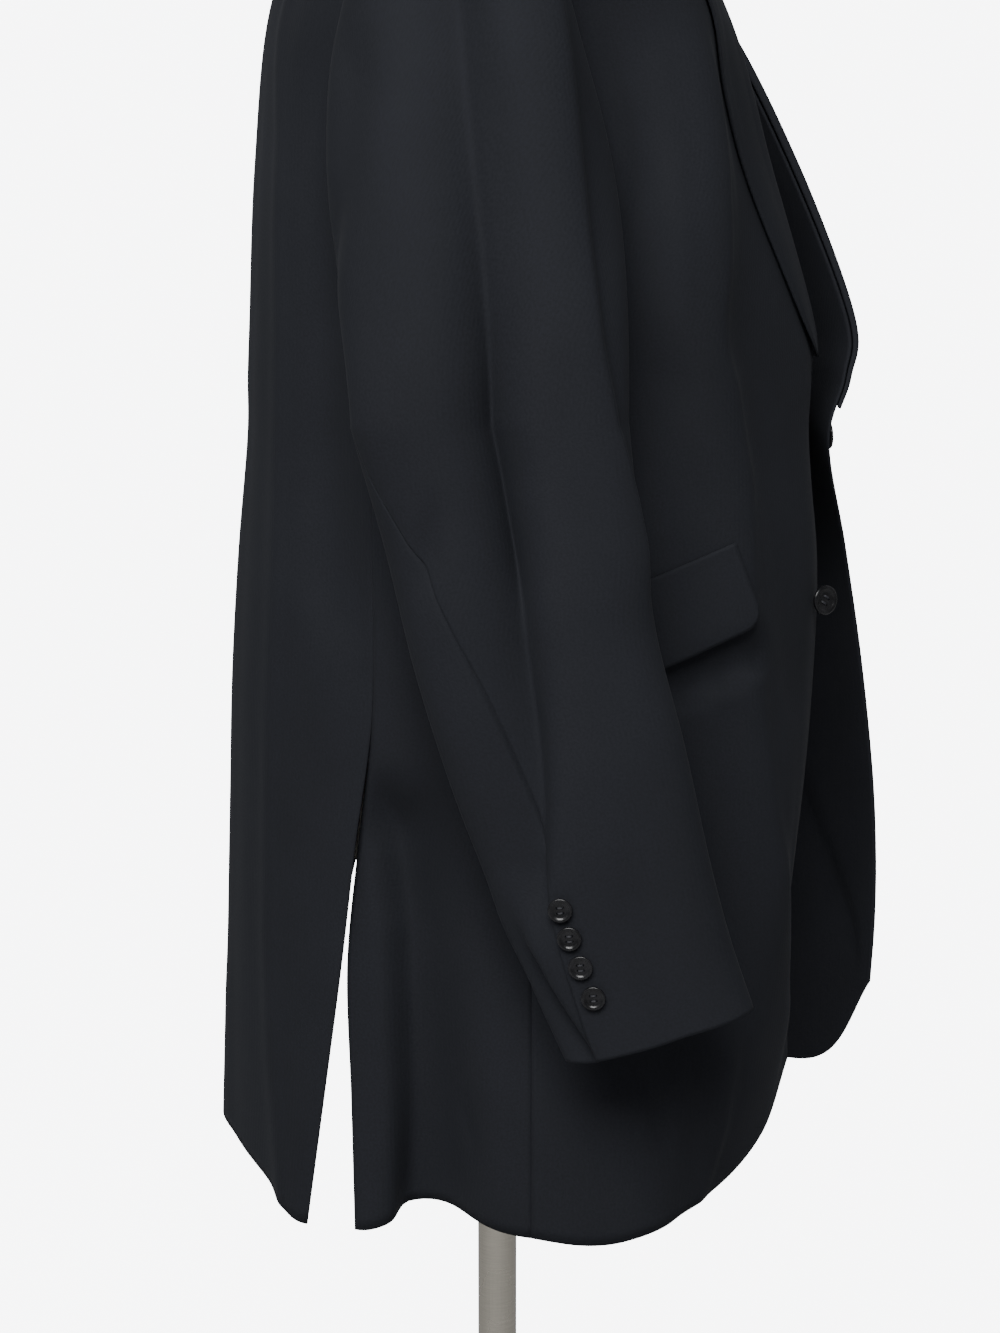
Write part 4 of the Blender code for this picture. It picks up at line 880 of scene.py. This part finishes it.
def button_mesh(name, radius, steps=56):
    """A round button with a raised rim, a dished middle and four holes through it."""
    thickness = radius * 0.36
    rings = [(r * radius, h * thickness) for r, h in BUTTON_PROFILE]
    shape = bmesh.new()
    loops = []
    for r, h in rings:
        if r == 0:
            loops.append([shape.verts.new((0, 0, h))])
        else:
            angles = [2 * math.pi * i / steps for i in range(steps)]
            loops.append([shape.verts.new((r * math.cos(a), r * math.sin(a), h)) for a in angles])
    for upper, lower in zip(loops, loops[1:]):
        for i in range(steps):
            j = (i + 1) % steps
            if len(upper) == 1:
                shape.faces.new((upper[0], lower[i], lower[j]))
            elif len(lower) == 1:
                shape.faces.new((upper[i], lower[0], upper[j]))
            else:
                shape.faces.new((upper[i], lower[i], lower[j], upper[j]))
    bmesh.ops.recalc_face_normals(shape, faces=shape.faces)
    mesh = bpy.data.meshes.new(name)
    shape.to_mesh(mesh)
    shape.free()
    blank = add_object("button_blank", mesh, None)
    drill = bmesh.new()
    for x, y in ((1, 1), (1, -1), (-1, 1), (-1, -1)):
        hole = radius * 0.105
        made = bmesh.ops.create_cone(
            drill, cap_ends=True, segments=16, radius1=hole, radius2=hole, depth=thickness * 4
        )
        bmesh.ops.translate(drill, verts=made["verts"], vec=(x * radius * 0.22, y * radius * 0.22, 0))
    drill_mesh = bpy.data.meshes.new("button_drill")
    drill.to_mesh(drill_mesh)
    drill.free()
    cutter = add_object("button_drill", drill_mesh, None)
    holes = blank.modifiers.new("holes", "BOOLEAN")
    holes.operation = "DIFFERENCE"
    holes.solver = "EXACT"
    holes.object = cutter
    apply_modifiers(blank)
    result = blank.data
    bpy.data.objects.remove(blank)
    bpy.data.objects.remove(cutter)
    result.shade_smooth()
    result.set_sharp_from_angle(angle=math.radians(35))
    return result


def thread_mesh(name, radius):
    """Two bars of thread between the button's holes, and the shank that holds it to the cloth."""
    reach, thickness = radius * 0.22, radius * 0.36
    shape = bmesh.new()
    for y in (-reach, reach):
        for strand in (-1, 0, 1):
            offset = strand * radius * 0.045
            points = [
                Vector((-reach, y + offset, thickness * 0.1)),
                Vector((-reach * 0.95, y + offset, thickness * 0.66)),
                Vector((-reach * 0.5, y + offset, thickness * 0.78)),
                Vector((reach * 0.5, y + offset, thickness * 0.78)),
                Vector((reach * 0.95, y + offset, thickness * 0.66)),
                Vector((reach, y + offset, thickness * 0.1)),
            ]
            add_tube(shape, points, radius * 0.030, 8)
    add_tube(shape, [Vector((0, 0, thickness * 0.1)), Vector((0, 0, -0.0016))], radius * 0.16, 14)
    mesh = bpy.data.meshes.new(name)
    bmesh.ops.recalc_face_normals(shape, faces=shape.faces)
    shape.to_mesh(mesh)
    shape.free()
    mesh.shade_smooth()
    return mesh


def add_tube(shape, points, radius, sides):
    """A round tube through points, in a bmesh."""
    rings = []
    across = None
    for i, point in enumerate(points):
        ahead = points[min(i + 1, len(points) - 1)]
        behind = points[max(i - 1, 0)]
        way = (ahead - behind).normalized()
        across = way.orthogonal() if across is None else across
        across = (across - way * across.dot(way)).normalized()
        other = way.cross(across)
        ring = []
        for k in range(sides):
            angle = 2 * math.pi * k / sides
            out = across * math.cos(angle) + other * math.sin(angle)
            ring.append(shape.verts.new(point + out * radius))
        rings.append(ring)
    for first, second in zip(rings, rings[1:]):
        for k in range(sides):
            m = (k + 1) % sides
            shape.faces.new((first[k], first[m], second[m], second[k]))
    shape.faces.new(rings[0][::-1])
    shape.faces.new(rings[-1])


# ---------------------------------------------------------------- materials


def new_group(name, inputs, outputs):
    """An empty node group with these (name, kind, default) inputs and (name, kind) outputs."""
    group = bpy.data.node_groups.new(name, "ShaderNodeTree")
    for label, kind, default in inputs:
        socket = group.interface.new_socket(name=label, in_out="INPUT", socket_type=kind)
        if default is not None:
            socket.default_value = default
    for label, kind in outputs:
        group.interface.new_socket(name=label, in_out="OUTPUT", socket_type=kind)
    return group, group.nodes.new("NodeGroupInput"), group.nodes.new("NodeGroupOutput")


def node(tree, kind, inputs=None, **settings):
    """A node with settings; inputs maps a socket's name or number to a value or an output socket."""
    made = tree.nodes.new(kind)
    for name, value in settings.items():
        setattr(made, name, value)
    for key, value in (inputs or {}).items():
        socket = made.inputs[key]
        if isinstance(value, bpy.types.NodeSocket):
            tree.links.new(value, socket)
        else:
            socket.default_value = value
    return made


def ramp(tree, factor, stops):
    """A colour ramp of (position, grey or colour) stops on a factor."""
    made = node(tree, "ShaderNodeValToRGB", {"Fac": factor})
    elements = made.color_ramp.elements
    while len(elements) < len(stops):
        elements.new(0.5)
    for element, (position, colour) in zip(elements, stops):
        element.position = position
        element.color = (colour, colour, colour, 1) if isinstance(colour, float) else (*colour, 1)
    return made.outputs["Color"]


def calc(tree, operation, *values):
    """The result of one maths node."""
    return node(tree, "ShaderNodeMath", dict(enumerate(values)), operation=operation).outputs[0]


def noise(tree, place, scale, detail):
    """Soft clouds of 0 to 1 at a place."""
    made = node(tree, "ShaderNodeTexNoise", {"Vector": place, "Scale": scale, "Detail": detail})
    return made.outputs["Fac"]


def add_tint(tree, shader, factor, stops):
    """A base colour that goes through the stops with a factor."""
    tree.links.new(ramp(tree, factor, stops), shader.inputs["Base Color"])


def add_relief(tree, shader, height, strength, distance):
    """Fine relief, on top of the mesh's own form."""
    relief = node(tree, "ShaderNodeBump", {"Strength": strength, "Distance": distance, "Height": height})
    tree.links.new(relief.outputs["Normal"], shader.inputs["Normal"])


def paper_brightness(tree, studio):
    """How bright the paper is to the camera, and as a light for everything else."""
    path = node(tree, "ShaderNodeLightPath")
    levels = {0: path.outputs["Is Camera Ray"], 3: studio.fill, 4: studio.paper}
    return node(tree, "ShaderNodeMapRange", levels).outputs[0]


def suiting_group():
    """Fine twill of a worsted: how light each thread lies, how rough it is and how high."""
    group, start, end = new_group(
        "suiting_twill",
        [
            ("Map", "NodeSocketVector", None),
            ("Place", "NodeSocketVector", None),
            ("Threads per metre", "NodeSocketFloat", 1900.0),
        ],
        [("Shade", "NodeSocketFloat"), ("Roughness", "NodeSocketFloat"), ("Height", "NodeSocketFloat")],
    )
    split = node(group, "ShaderNodeSeparateXYZ", {"Vector": start.outputs["Map"]})
    threads = start.outputs["Threads per metre"]
    diagonal = calc(group, "ADD", split.outputs["X"], split.outputs["Y"])
    wave = calc(group, "SINE", calc(group, "MULTIPLY", diagonal, threads))
    warp = calc(group, "COSINE", calc(group, "MULTIPLY", split.outputs["X"], threads))
    height = calc(group, "MULTIPLY_ADD", wave, 0.6, warp)
    slub = noise(group, start.outputs["Map"], 620.0, 4.0)
    cloud = noise(group, start.outputs["Place"], 9.0, 3.0)
    shade = ramp(group, cloud, [(0.30, 0.90), (0.70, 1.08)])
    fleck = ramp(group, slub, [(0.35, 0.88), (0.65, 1.12)])
    rough = node(group, "ShaderNodeMapRange", {0: slub, 1: 0.3, 2: 0.7, 3: 0.74, 4: 0.88})
    group.links.new(calc(group, "MULTIPLY", shade, fleck), end.inputs["Shade"])
    group.links.new(rough.outputs[0], end.inputs["Roughness"])
    group.links.new(calc(group, "MULTIPLY_ADD", slub, 1.2, height), end.inputs["Height"])
    return group


def new_material(name):
    """The node tree and the shader of a new material."""
    made = bpy.data.materials.new(name)
    made.use_nodes = True
    return made.node_tree, made.node_tree.nodes["Principled BSDF"]


def suiting_material(colour, group):
    """Dark worsted suiting: matt, with a trace of sheen."""
    tree, shader = new_material("suiting")
    cloth_map = node(tree, "ShaderNodeUVMap", uv_map="cloth")
    place = node(tree, "ShaderNodeTexCoord")
    twill = node(tree, "ShaderNodeGroup", node_tree=group)
    tree.links.new(cloth_map.outputs["UV"], twill.inputs["Map"])
    tree.links.new(place.outputs["Object"], twill.inputs["Place"])
    tint = node(tree, "ShaderNodeMix", {"Factor": 1.0}, data_type="RGBA", blend_type="MULTIPLY")
    tint.inputs[6].default_value = (*colour, 1)
    tree.links.new(twill.outputs["Shade"], tint.inputs[7])
    tree.links.new(tint.outputs[2], shader.inputs["Base Color"])
    tree.links.new(twill.outputs["Roughness"], shader.inputs["Roughness"])
    add_relief(tree, shader, twill.outputs["Height"], 0.10, 0.0002)
    shader.inputs["Specular IOR Level"].default_value = 0.10
    shader.inputs["Sheen Weight"].default_value = 0.015
    shader.inputs["Sheen Roughness"].default_value = 0.5
    shader.inputs["Sheen Tint"].default_value = (0.75, 0.80, 0.90, 1)


def polished_group():
    """Faint smears and hairline scratches for polished trims: roughness and height."""
    group, start, end = new_group(
        "fine_wear",
        [
            ("Place", "NodeSocketVector", None),
            ("Base roughness", "NodeSocketFloat", 0.2),
            ("Scale", "NodeSocketFloat", 300.0),
        ],
        [("Roughness", "NodeSocketFloat"), ("Height", "NodeSocketFloat")],
    )
    smear = noise(group, start.outputs["Place"], start.outputs["Scale"], 5.0)
    spread = node(group, "ShaderNodeMapRange", {0: smear, 1: 0.3, 2: 0.7, 3: -0.05, 4: 0.07})
    total = calc(group, "ADD", start.outputs["Base roughness"], spread.outputs[0])
    group.links.new(total, end.inputs["Roughness"])
    group.links.new(smear, end.inputs["Height"])
    return group


def button_material(colour, group):
    tree, shader = new_material("button_polish")
    place = node(tree, "ShaderNodeTexCoord")
    wear = node(tree, "ShaderNodeGroup", node_tree=group)
    wear.inputs["Base roughness"].default_value = 0.24
    wear.inputs["Scale"].default_value = 420.0
    tree.links.new(place.outputs["Object"], wear.inputs["Place"])
    tree.links.new(wear.outputs["Roughness"], shader.inputs["Roughness"])
    marble = noise(tree, place.outputs["Object"], 160.0, 4.0)
    low = tuple(0.6 * c for c in colour)
    high = tuple(1.6 * c for c in colour)
    add_tint(tree, shader, marble, [(0.35, low), (0.75, high)])
    shader.inputs["Specular IOR Level"].default_value = 0.30


def thread_material():
    tree, shader = new_material("sewing_thread")
    place = node(tree, "ShaderNodeTexCoord")
    ply = noise(tree, place.outputs["Object"], 2600.0, 2.0)
    add_tint(tree, shader, ply, [(0.3, (0.008, 0.008, 0.011)), (0.7, (0.022, 0.023, 0.030))])
    shader.inputs["Roughness"].default_value = 0.6


def form_material(colour):
    """Matt jersey cover of the dress form."""
    tree, shader = new_material("form_jersey")
    place = node(tree, "ShaderNodeTexCoord")
    knit = noise(tree, place.outputs["Object"], 900.0, 2.0)
    cloud = noise(tree, place.outputs["Object"], 7.0, 3.0)
    low = tuple(0.93 * c for c in colour)
    add_tint(tree, shader, cloud, [(0.35, low), (0.65, colour)])
    add_relief(tree, shader, knit, 0.25, 0.0004)
    shader.inputs["Roughness"].default_value = 0.9
    shader.inputs["Sheen Weight"].default_value = 0.15


def steel_material(name, colour, group, stretch, metallic_rough=0.26):
    """Brushed steel, with its fine lines running round the piece."""
    tree, shader = new_material(name)
    place = node(tree, "ShaderNodeTexCoord")
    drawn = node(tree, "ShaderNodeMapping", {"Vector": place.outputs["Object"], "Scale": stretch})
    lines = noise(tree, drawn.outputs["Vector"], 60.0, 6.0)
    low = tuple(0.86 * c for c in colour)
    add_tint(tree, shader, lines, [(0.35, low), (0.65, colour)])
    wear = node(tree, "ShaderNodeGroup", node_tree=group)
    wear.inputs["Base roughness"].default_value = metallic_rough
    wear.inputs["Scale"].default_value = 12.0
    tree.links.new(place.outputs["Object"], wear.inputs["Place"])
    tree.links.new(wear.outputs["Roughness"], shader.inputs["Roughness"])
    add_relief(tree, shader, lines, 0.08, 0.0002)
    shader.inputs["Metallic"].default_value = 1.0


def finishes():
    """All materials by name; they are made at the first call."""
    if "suiting" in bpy.data.materials:
        return bpy.data.materials
    colours = bpy.context.scene.jacket_finish
    twill = suiting_group()
    wear = polished_group()
    suiting_material(colours.cloth, twill)
    button_material(colours.button, wear)
    thread_material()
    form_material(tuple(colours.form))
    steel_material("pole_steel", tuple(colours.steel), wear, (1.0, 1.0, 40.0))
    steel_material("base_steel", tuple(colours.steel), wear, (6.0, 6.0, 6.0), 0.32)
    return bpy.data.materials


# ---------------------------------------------------------------- operators


class JACKET_OT_stage(bpy.types.Operator):
    """Sets the camera, the pale floor and the soft studio light"""

    bl_idname = "jacket.stage"
    bl_label = "Studio"

    def execute(self, context):
        studio = context.scene.jacket_studio
        camera = bpy.data.cameras.new("camera")
        camera.sensor_width = CAMERA_SENSOR
        camera.lens = CAMERA_LENS
        view = bpy.data.objects.new("camera", camera)
        view.location = CAMERA_PLACE
        view.rotation_euler = (CAMERA_TILT, 0, 0)
        context.scene.collection.objects.link(view)
        context.scene.camera = view
        make_cove(studio)
        make_lights(studio)
        return {"FINISHED"}


def make_cove(studio):
    """One sheet of paper: the floor, which curves up into a wall all round, with no horizon."""
    flat, bend, height = 6.0, 2.5, 9.0
    profile = [(0.0, 0.0), (flat, 0.0)]
    for i in range(1, 17):
        angle = math.pi / 2 * i / 16
        profile.append((flat + bend * math.sin(angle), bend * (1 - math.cos(angle))))
    profile.append((flat + bend, height))
    steps = 96
    shape = bmesh.new()
    centre = shape.verts.new((0, 0, 0))
    loops = []
    for radius, z in profile[1:]:
        angles = [2 * math.pi * i / steps for i in range(steps)]
        loops.append([shape.verts.new((radius * math.cos(a), radius * math.sin(a), z)) for a in angles])
    for i in range(steps):
        j = (i + 1) % steps
        shape.faces.new((centre, loops[0][i], loops[0][j]))
        for lower, upper in zip(loops, loops[1:]):
            shape.faces.new((lower[i], upper[i], upper[j], lower[j]))
    mesh = bpy.data.meshes.new("floor")
    shape.to_mesh(mesh)
    shape.free()
    mesh.shade_smooth()
    tree, shader = new_material("floor_paper")
    place = node(tree, "ShaderNodeTexCoord")
    cloud = noise(tree, place.outputs["Object"], 1.5, 3.0)
    low = tuple(0.98 * c for c in studio.floor)
    add_tint(tree, shader, cloud, [(0.3, low), (0.7, tuple(studio.floor))])
    shader.inputs["Roughness"].default_value = 0.95
    shader.inputs["Specular IOR Level"].default_value = 0.1
    shader.inputs["Emission Color"].default_value = PAPER_GLOW
    tree.links.new(paper_brightness(tree, studio), shader.inputs["Emission Strength"])
    add_object("floor", mesh, bpy.data.materials["floor_paper"])


def add_area_light(name, power, size, place, target):
    """A soft rectangular light at a place, turned to a target and not seen by the camera."""
    light = bpy.data.lights.new(name, "AREA")
    light.energy = power
    light.shape = "RECTANGLE"
    light.size, light.size_y = size
    made = bpy.data.objects.new(name, light)
    made.location = place
    made.rotation_euler = (Vector(target) - Vector(place)).to_track_quat("-Z", "Y").to_euler()
    made.visible_camera = False
    bpy.context.scene.collection.objects.link(made)


def make_lights(studio):
    """The key light, a weak one towards the jacket's back, and an even glow from all round."""
    add_area_light("key", studio.key, *KEY_LIGHT)
    add_area_light("side", studio.side, *SIDE_LIGHT)
    world = bpy.data.worlds.new("studio")
    bpy.context.scene.world = world
    world.use_nodes = True
    tree = world.node_tree
    background = tree.nodes["Background"]
    background.inputs["Color"].default_value = PAPER_GLOW
    tree.links.new(paper_brightness(tree, studio), background.inputs["Strength"])


class JACKET_OT_body(bpy.types.Operator):
    """Cuts the back, the side bodies and the fronts"""

    bl_idname = "jacket.body"
    bl_label = "Body panels"

    def execute(self, context):
        sizes = context.scene.jacket_sizes
        cloth = finishes()["suiting"]
        sink = sizes.seam_sink
        for side, hand in ((-1, "right"), (1, "left")):
            back = pressed(back_grid(side, sizes.folds), sink, left=True, right=True, top=True)
            middle = pressed(side_grid(side, sizes.folds), sink, left=True, right=True)
            front = pressed(front_grid(side, sizes.folds), sink, left=True, top=True)
            for name, grid, below in (
                ("back", back, "form_torso"),
                ("side", middle, f"cloth_back_{hand}"),
                ("front", front, "form_torso"),
            ):
                add_cloth(
                    f"cloth_{name}_{hand}", for_side(grid, side), cloth, f"{name}_{hand}", side > 0,
                    sizes.cloth
                )
        return {"FINISHED"}


class JACKET_OT_collar(bpy.types.Operator):
    """Turns the lapels over the fronts and sets the collar"""

    bl_idname = "jacket.collar"
    bl_label = "Lapels and collar"

    def execute(self, context):
        sizes = context.scene.jacket_sizes
        cloth = finishes()["suiting"]
        for side, hand in ((-1, "right"), (1, "left")):
            grid = for_side(lapel_grid(side, sizes.folds), side)
            add_cloth(
                f"cloth_lapel_{hand}", grid, cloth, f"lapel_{hand}", side < 0, sizes.collar_cloth,
            )
        add_cloth(
            "cloth_collar", collar_grid(), cloth, "collar", False, sizes.collar_cloth,
        )
        return {"FINISHED"}


class JACKET_OT_sleeves(bpy.types.Operator):
    """Sets the two-piece sleeves, with a vent at each cuff"""

    bl_idname = "jacket.sleeves"
    bl_label = "Sleeves"

    def execute(self, context):
        sizes = context.scene.jacket_sizes
        cloth = finishes()["suiting"]
        armhole = armhole_line()

        def front_seam(level):
            return SLEEVE_FRONT_SEAM

        def under_edge(level):
            return back_seam_turn(level) - SLEEVE_UNDERLAP * vent_open(level)

        def under_end(level):
            return 1 + SLEEVE_FRONT_SEAM

        for side, hand in ((-1, "right"), (1, "left")):
            top = sleeve_grid(armhole, front_seam, back_seam_turn, TOP_SLEEVE_CELLS, side, sizes, under=False)
            under = sleeve_grid(armhole, under_edge, under_end, UNDER_SLEEVE_CELLS, side, sizes, under=True)
            for name, grid, below in (
                ("top", top, f"cloth_front_{hand}"), ("under", under, f"cloth_sleeve_top_{hand}")
            ):
                add_cloth(
                    f"cloth_sleeve_{name}_{hand}", for_side(grid, side), cloth, f"sleeve_{name}_{hand}",
                    side > 0, sizes.cloth
                )
        return {"FINISHED"}


class JACKET_OT_flaps(bpy.types.Operator):
    """Lays the pocket flaps on the fronts"""

    bl_idname = "jacket.flaps"
    bl_label = "Pocket flaps"

    def execute(self, context):
        sizes = context.scene.jacket_sizes
        cloth = finishes()["suiting"]
        for side, hand in ((-1, "right"), (1, "left")):
            grid = for_side(flap_grid(side, sizes.folds), side)
            add_cloth(
                f"cloth_flap_{hand}", grid, cloth, f"flap_{hand}", side > 0, sizes.cloth,
            )
        return {"FINISHED"}


class JACKET_OT_buttons(bpy.types.Operator):
    """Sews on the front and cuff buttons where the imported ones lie"""

    bl_idname = "jacket.buttons"
    bl_label = "Buttons"

    def execute(self, context):
        sizes = context.scene.jacket_sizes
        materials = finishes()
        made = {
            kind: (button_mesh(f"{kind}_button", radius), thread_mesh(f"{kind}_thread", radius))
            for kind, radius in (("front", sizes.front_button), ("cuff", sizes.cuff_button))
        }
        names = [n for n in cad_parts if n.startswith(("button_", "cuff_button_"))]
        for name in sorted(names):
            kind = "cuff" if name.startswith("cuff") else "front"
            origin, out = packed_button(name)
            for mesh, suffix, finish in zip(made[kind], ("", "_thread"), ("button_polish", "sewing_thread")):
                piece = add_object(f"sewn_{name}{suffix}", mesh.copy(), materials[finish])
                turn = Vector((0, 0, 1)).rotation_difference(out)
                piece.data.transform(turn.to_matrix().to_4x4())
                piece.data.transform(Matrix.Translation(origin))
                if not suffix:
                    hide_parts(name)
                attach(piece, "root")
        return {"FINISHED"}


def packed_button(name):
    """Where a packed button's back lies and which way it faces, from its own points."""
    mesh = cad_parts[name].data
    points = np.array([tuple(v.co) for v in mesh.vertices])
    middle = points.mean(axis=0)
    _, _, axes = np.linalg.svd(points - middle, full_matrices=False)
    out = axes[2]
    outward = (1.0, 0.0, 0.0)
    if name.startswith("cuff"):
        outward = (0.0, middle[1], 0.0)
    if name == "button_lower":
        outward = (0.5, -0.5, 0.0)
    if out @ np.array(outward) < 0:
        out = -out
    back = ((points - middle) @ out).min()
    return Vector(middle + out * back), Vector(out)


class JACKET_OT_form(bpy.types.Operator):
    """Covers the dress form and finishes the steel pole and base"""

    bl_idname = "jacket.form"
    bl_label = "Form and stand"

    def execute(self, context):
        materials = finishes()
        values = np.array([row[1:] for row in FORM_ROWS], float)
        places = np.linspace(0, len(values) - 1, 8 * (len(values) - 1) + 1)
        grid = []
        for z, back, front, half_width in sample(values, places):
            ring = []
            for i in range(FORM_STEPS):
                angle = 2 * math.pi * i / FORM_STEPS
                c, s = math.cos(angle), math.sin(angle)
                reach = (abs(c) ** FORM_SQUARENESS + abs(s) ** FORM_SQUARENESS) ** (-1 / FORM_SQUARENESS)
                x = (front if c > 0 else -back) * c * reach
                ring.append((x, half_width * s * reach, z))
            grid.append(ring)
        cover = sheet_mesh("form_cover", np.array(grid), closed=True)
        made = add_object("form_cover", cover, materials["form_jersey"])
        shape = bmesh.new()
        shape.from_mesh(made.data)
        borders = [edge for edge in shape.edges if edge.is_boundary]
        bmesh.ops.holes_fill(shape, edges=borders, sides=0)
        bmesh.ops.recalc_face_normals(shape, faces=shape.faces)
        shape.to_mesh(made.data)
        shape.free()
        made.data.set_sharp_from_angle(angle=math.radians(40))
        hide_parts("form_torso")
        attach(made, "root")
        for name, finish in (("stand_pole", "pole_steel"), ("stand_base", "base_steel")):
            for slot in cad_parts[name].material_slots:
                slot.material = materials[finish]
        return {"FINISHED"}


OPERATORS = (
    JACKET_OT_stage,
    JACKET_OT_body,
    JACKET_OT_collar,
    JACKET_OT_sleeves,
    JACKET_OT_flaps,
    JACKET_OT_buttons,
    JACKET_OT_form,
)


class JACKET_PT_panel(bpy.types.Panel):
    """Lists the jacket's pieces and the studio"""

    bl_idname = "JACKET_PT_panel"
    bl_label = "Suit jacket"
    bl_space_type = "VIEW_3D"
    bl_region_type = "UI"
    bl_category = "Jacket"

    def draw(self, context):
        layout = self.layout
        for operator in OPERATORS:
            layout.operator(operator.bl_idname)
        for group in (context.scene.jacket_sizes, context.scene.jacket_finish, context.scene.jacket_studio):
            box = layout.box()
            for name in group.__annotations__:
                box.prop(group, name)


GROUPS = (
    ("jacket_sizes", JacketSizes),
    ("jacket_finish", JacketFinish),
    ("jacket_studio", StudioSettings),
)


def register():
    for name, group in GROUPS:
        bpy.utils.register_class(group)
        setattr(bpy.types.Scene, name, PointerProperty(type=group))
    for operator in OPERATORS:
        bpy.utils.register_class(operator)
    bpy.utils.register_class(JACKET_PT_panel)


def unregister():
    bpy.utils.unregister_class(JACKET_PT_panel)
    for operator in reversed(OPERATORS):
        bpy.utils.unregister_class(operator)
    for name, group in reversed(GROUPS):
        delattr(bpy.types.Scene, name)
        bpy.utils.unregister_class(group)


def main():
    register()
    bpy.ops.jacket.stage()
    bpy.ops.jacket.body()
    bpy.ops.jacket.collar()
    bpy.ops.jacket.sleeves()
    bpy.ops.jacket.flaps()
    bpy.ops.jacket.buttons()
    bpy.ops.jacket.form()


if __name__ == "__main__":
    main()
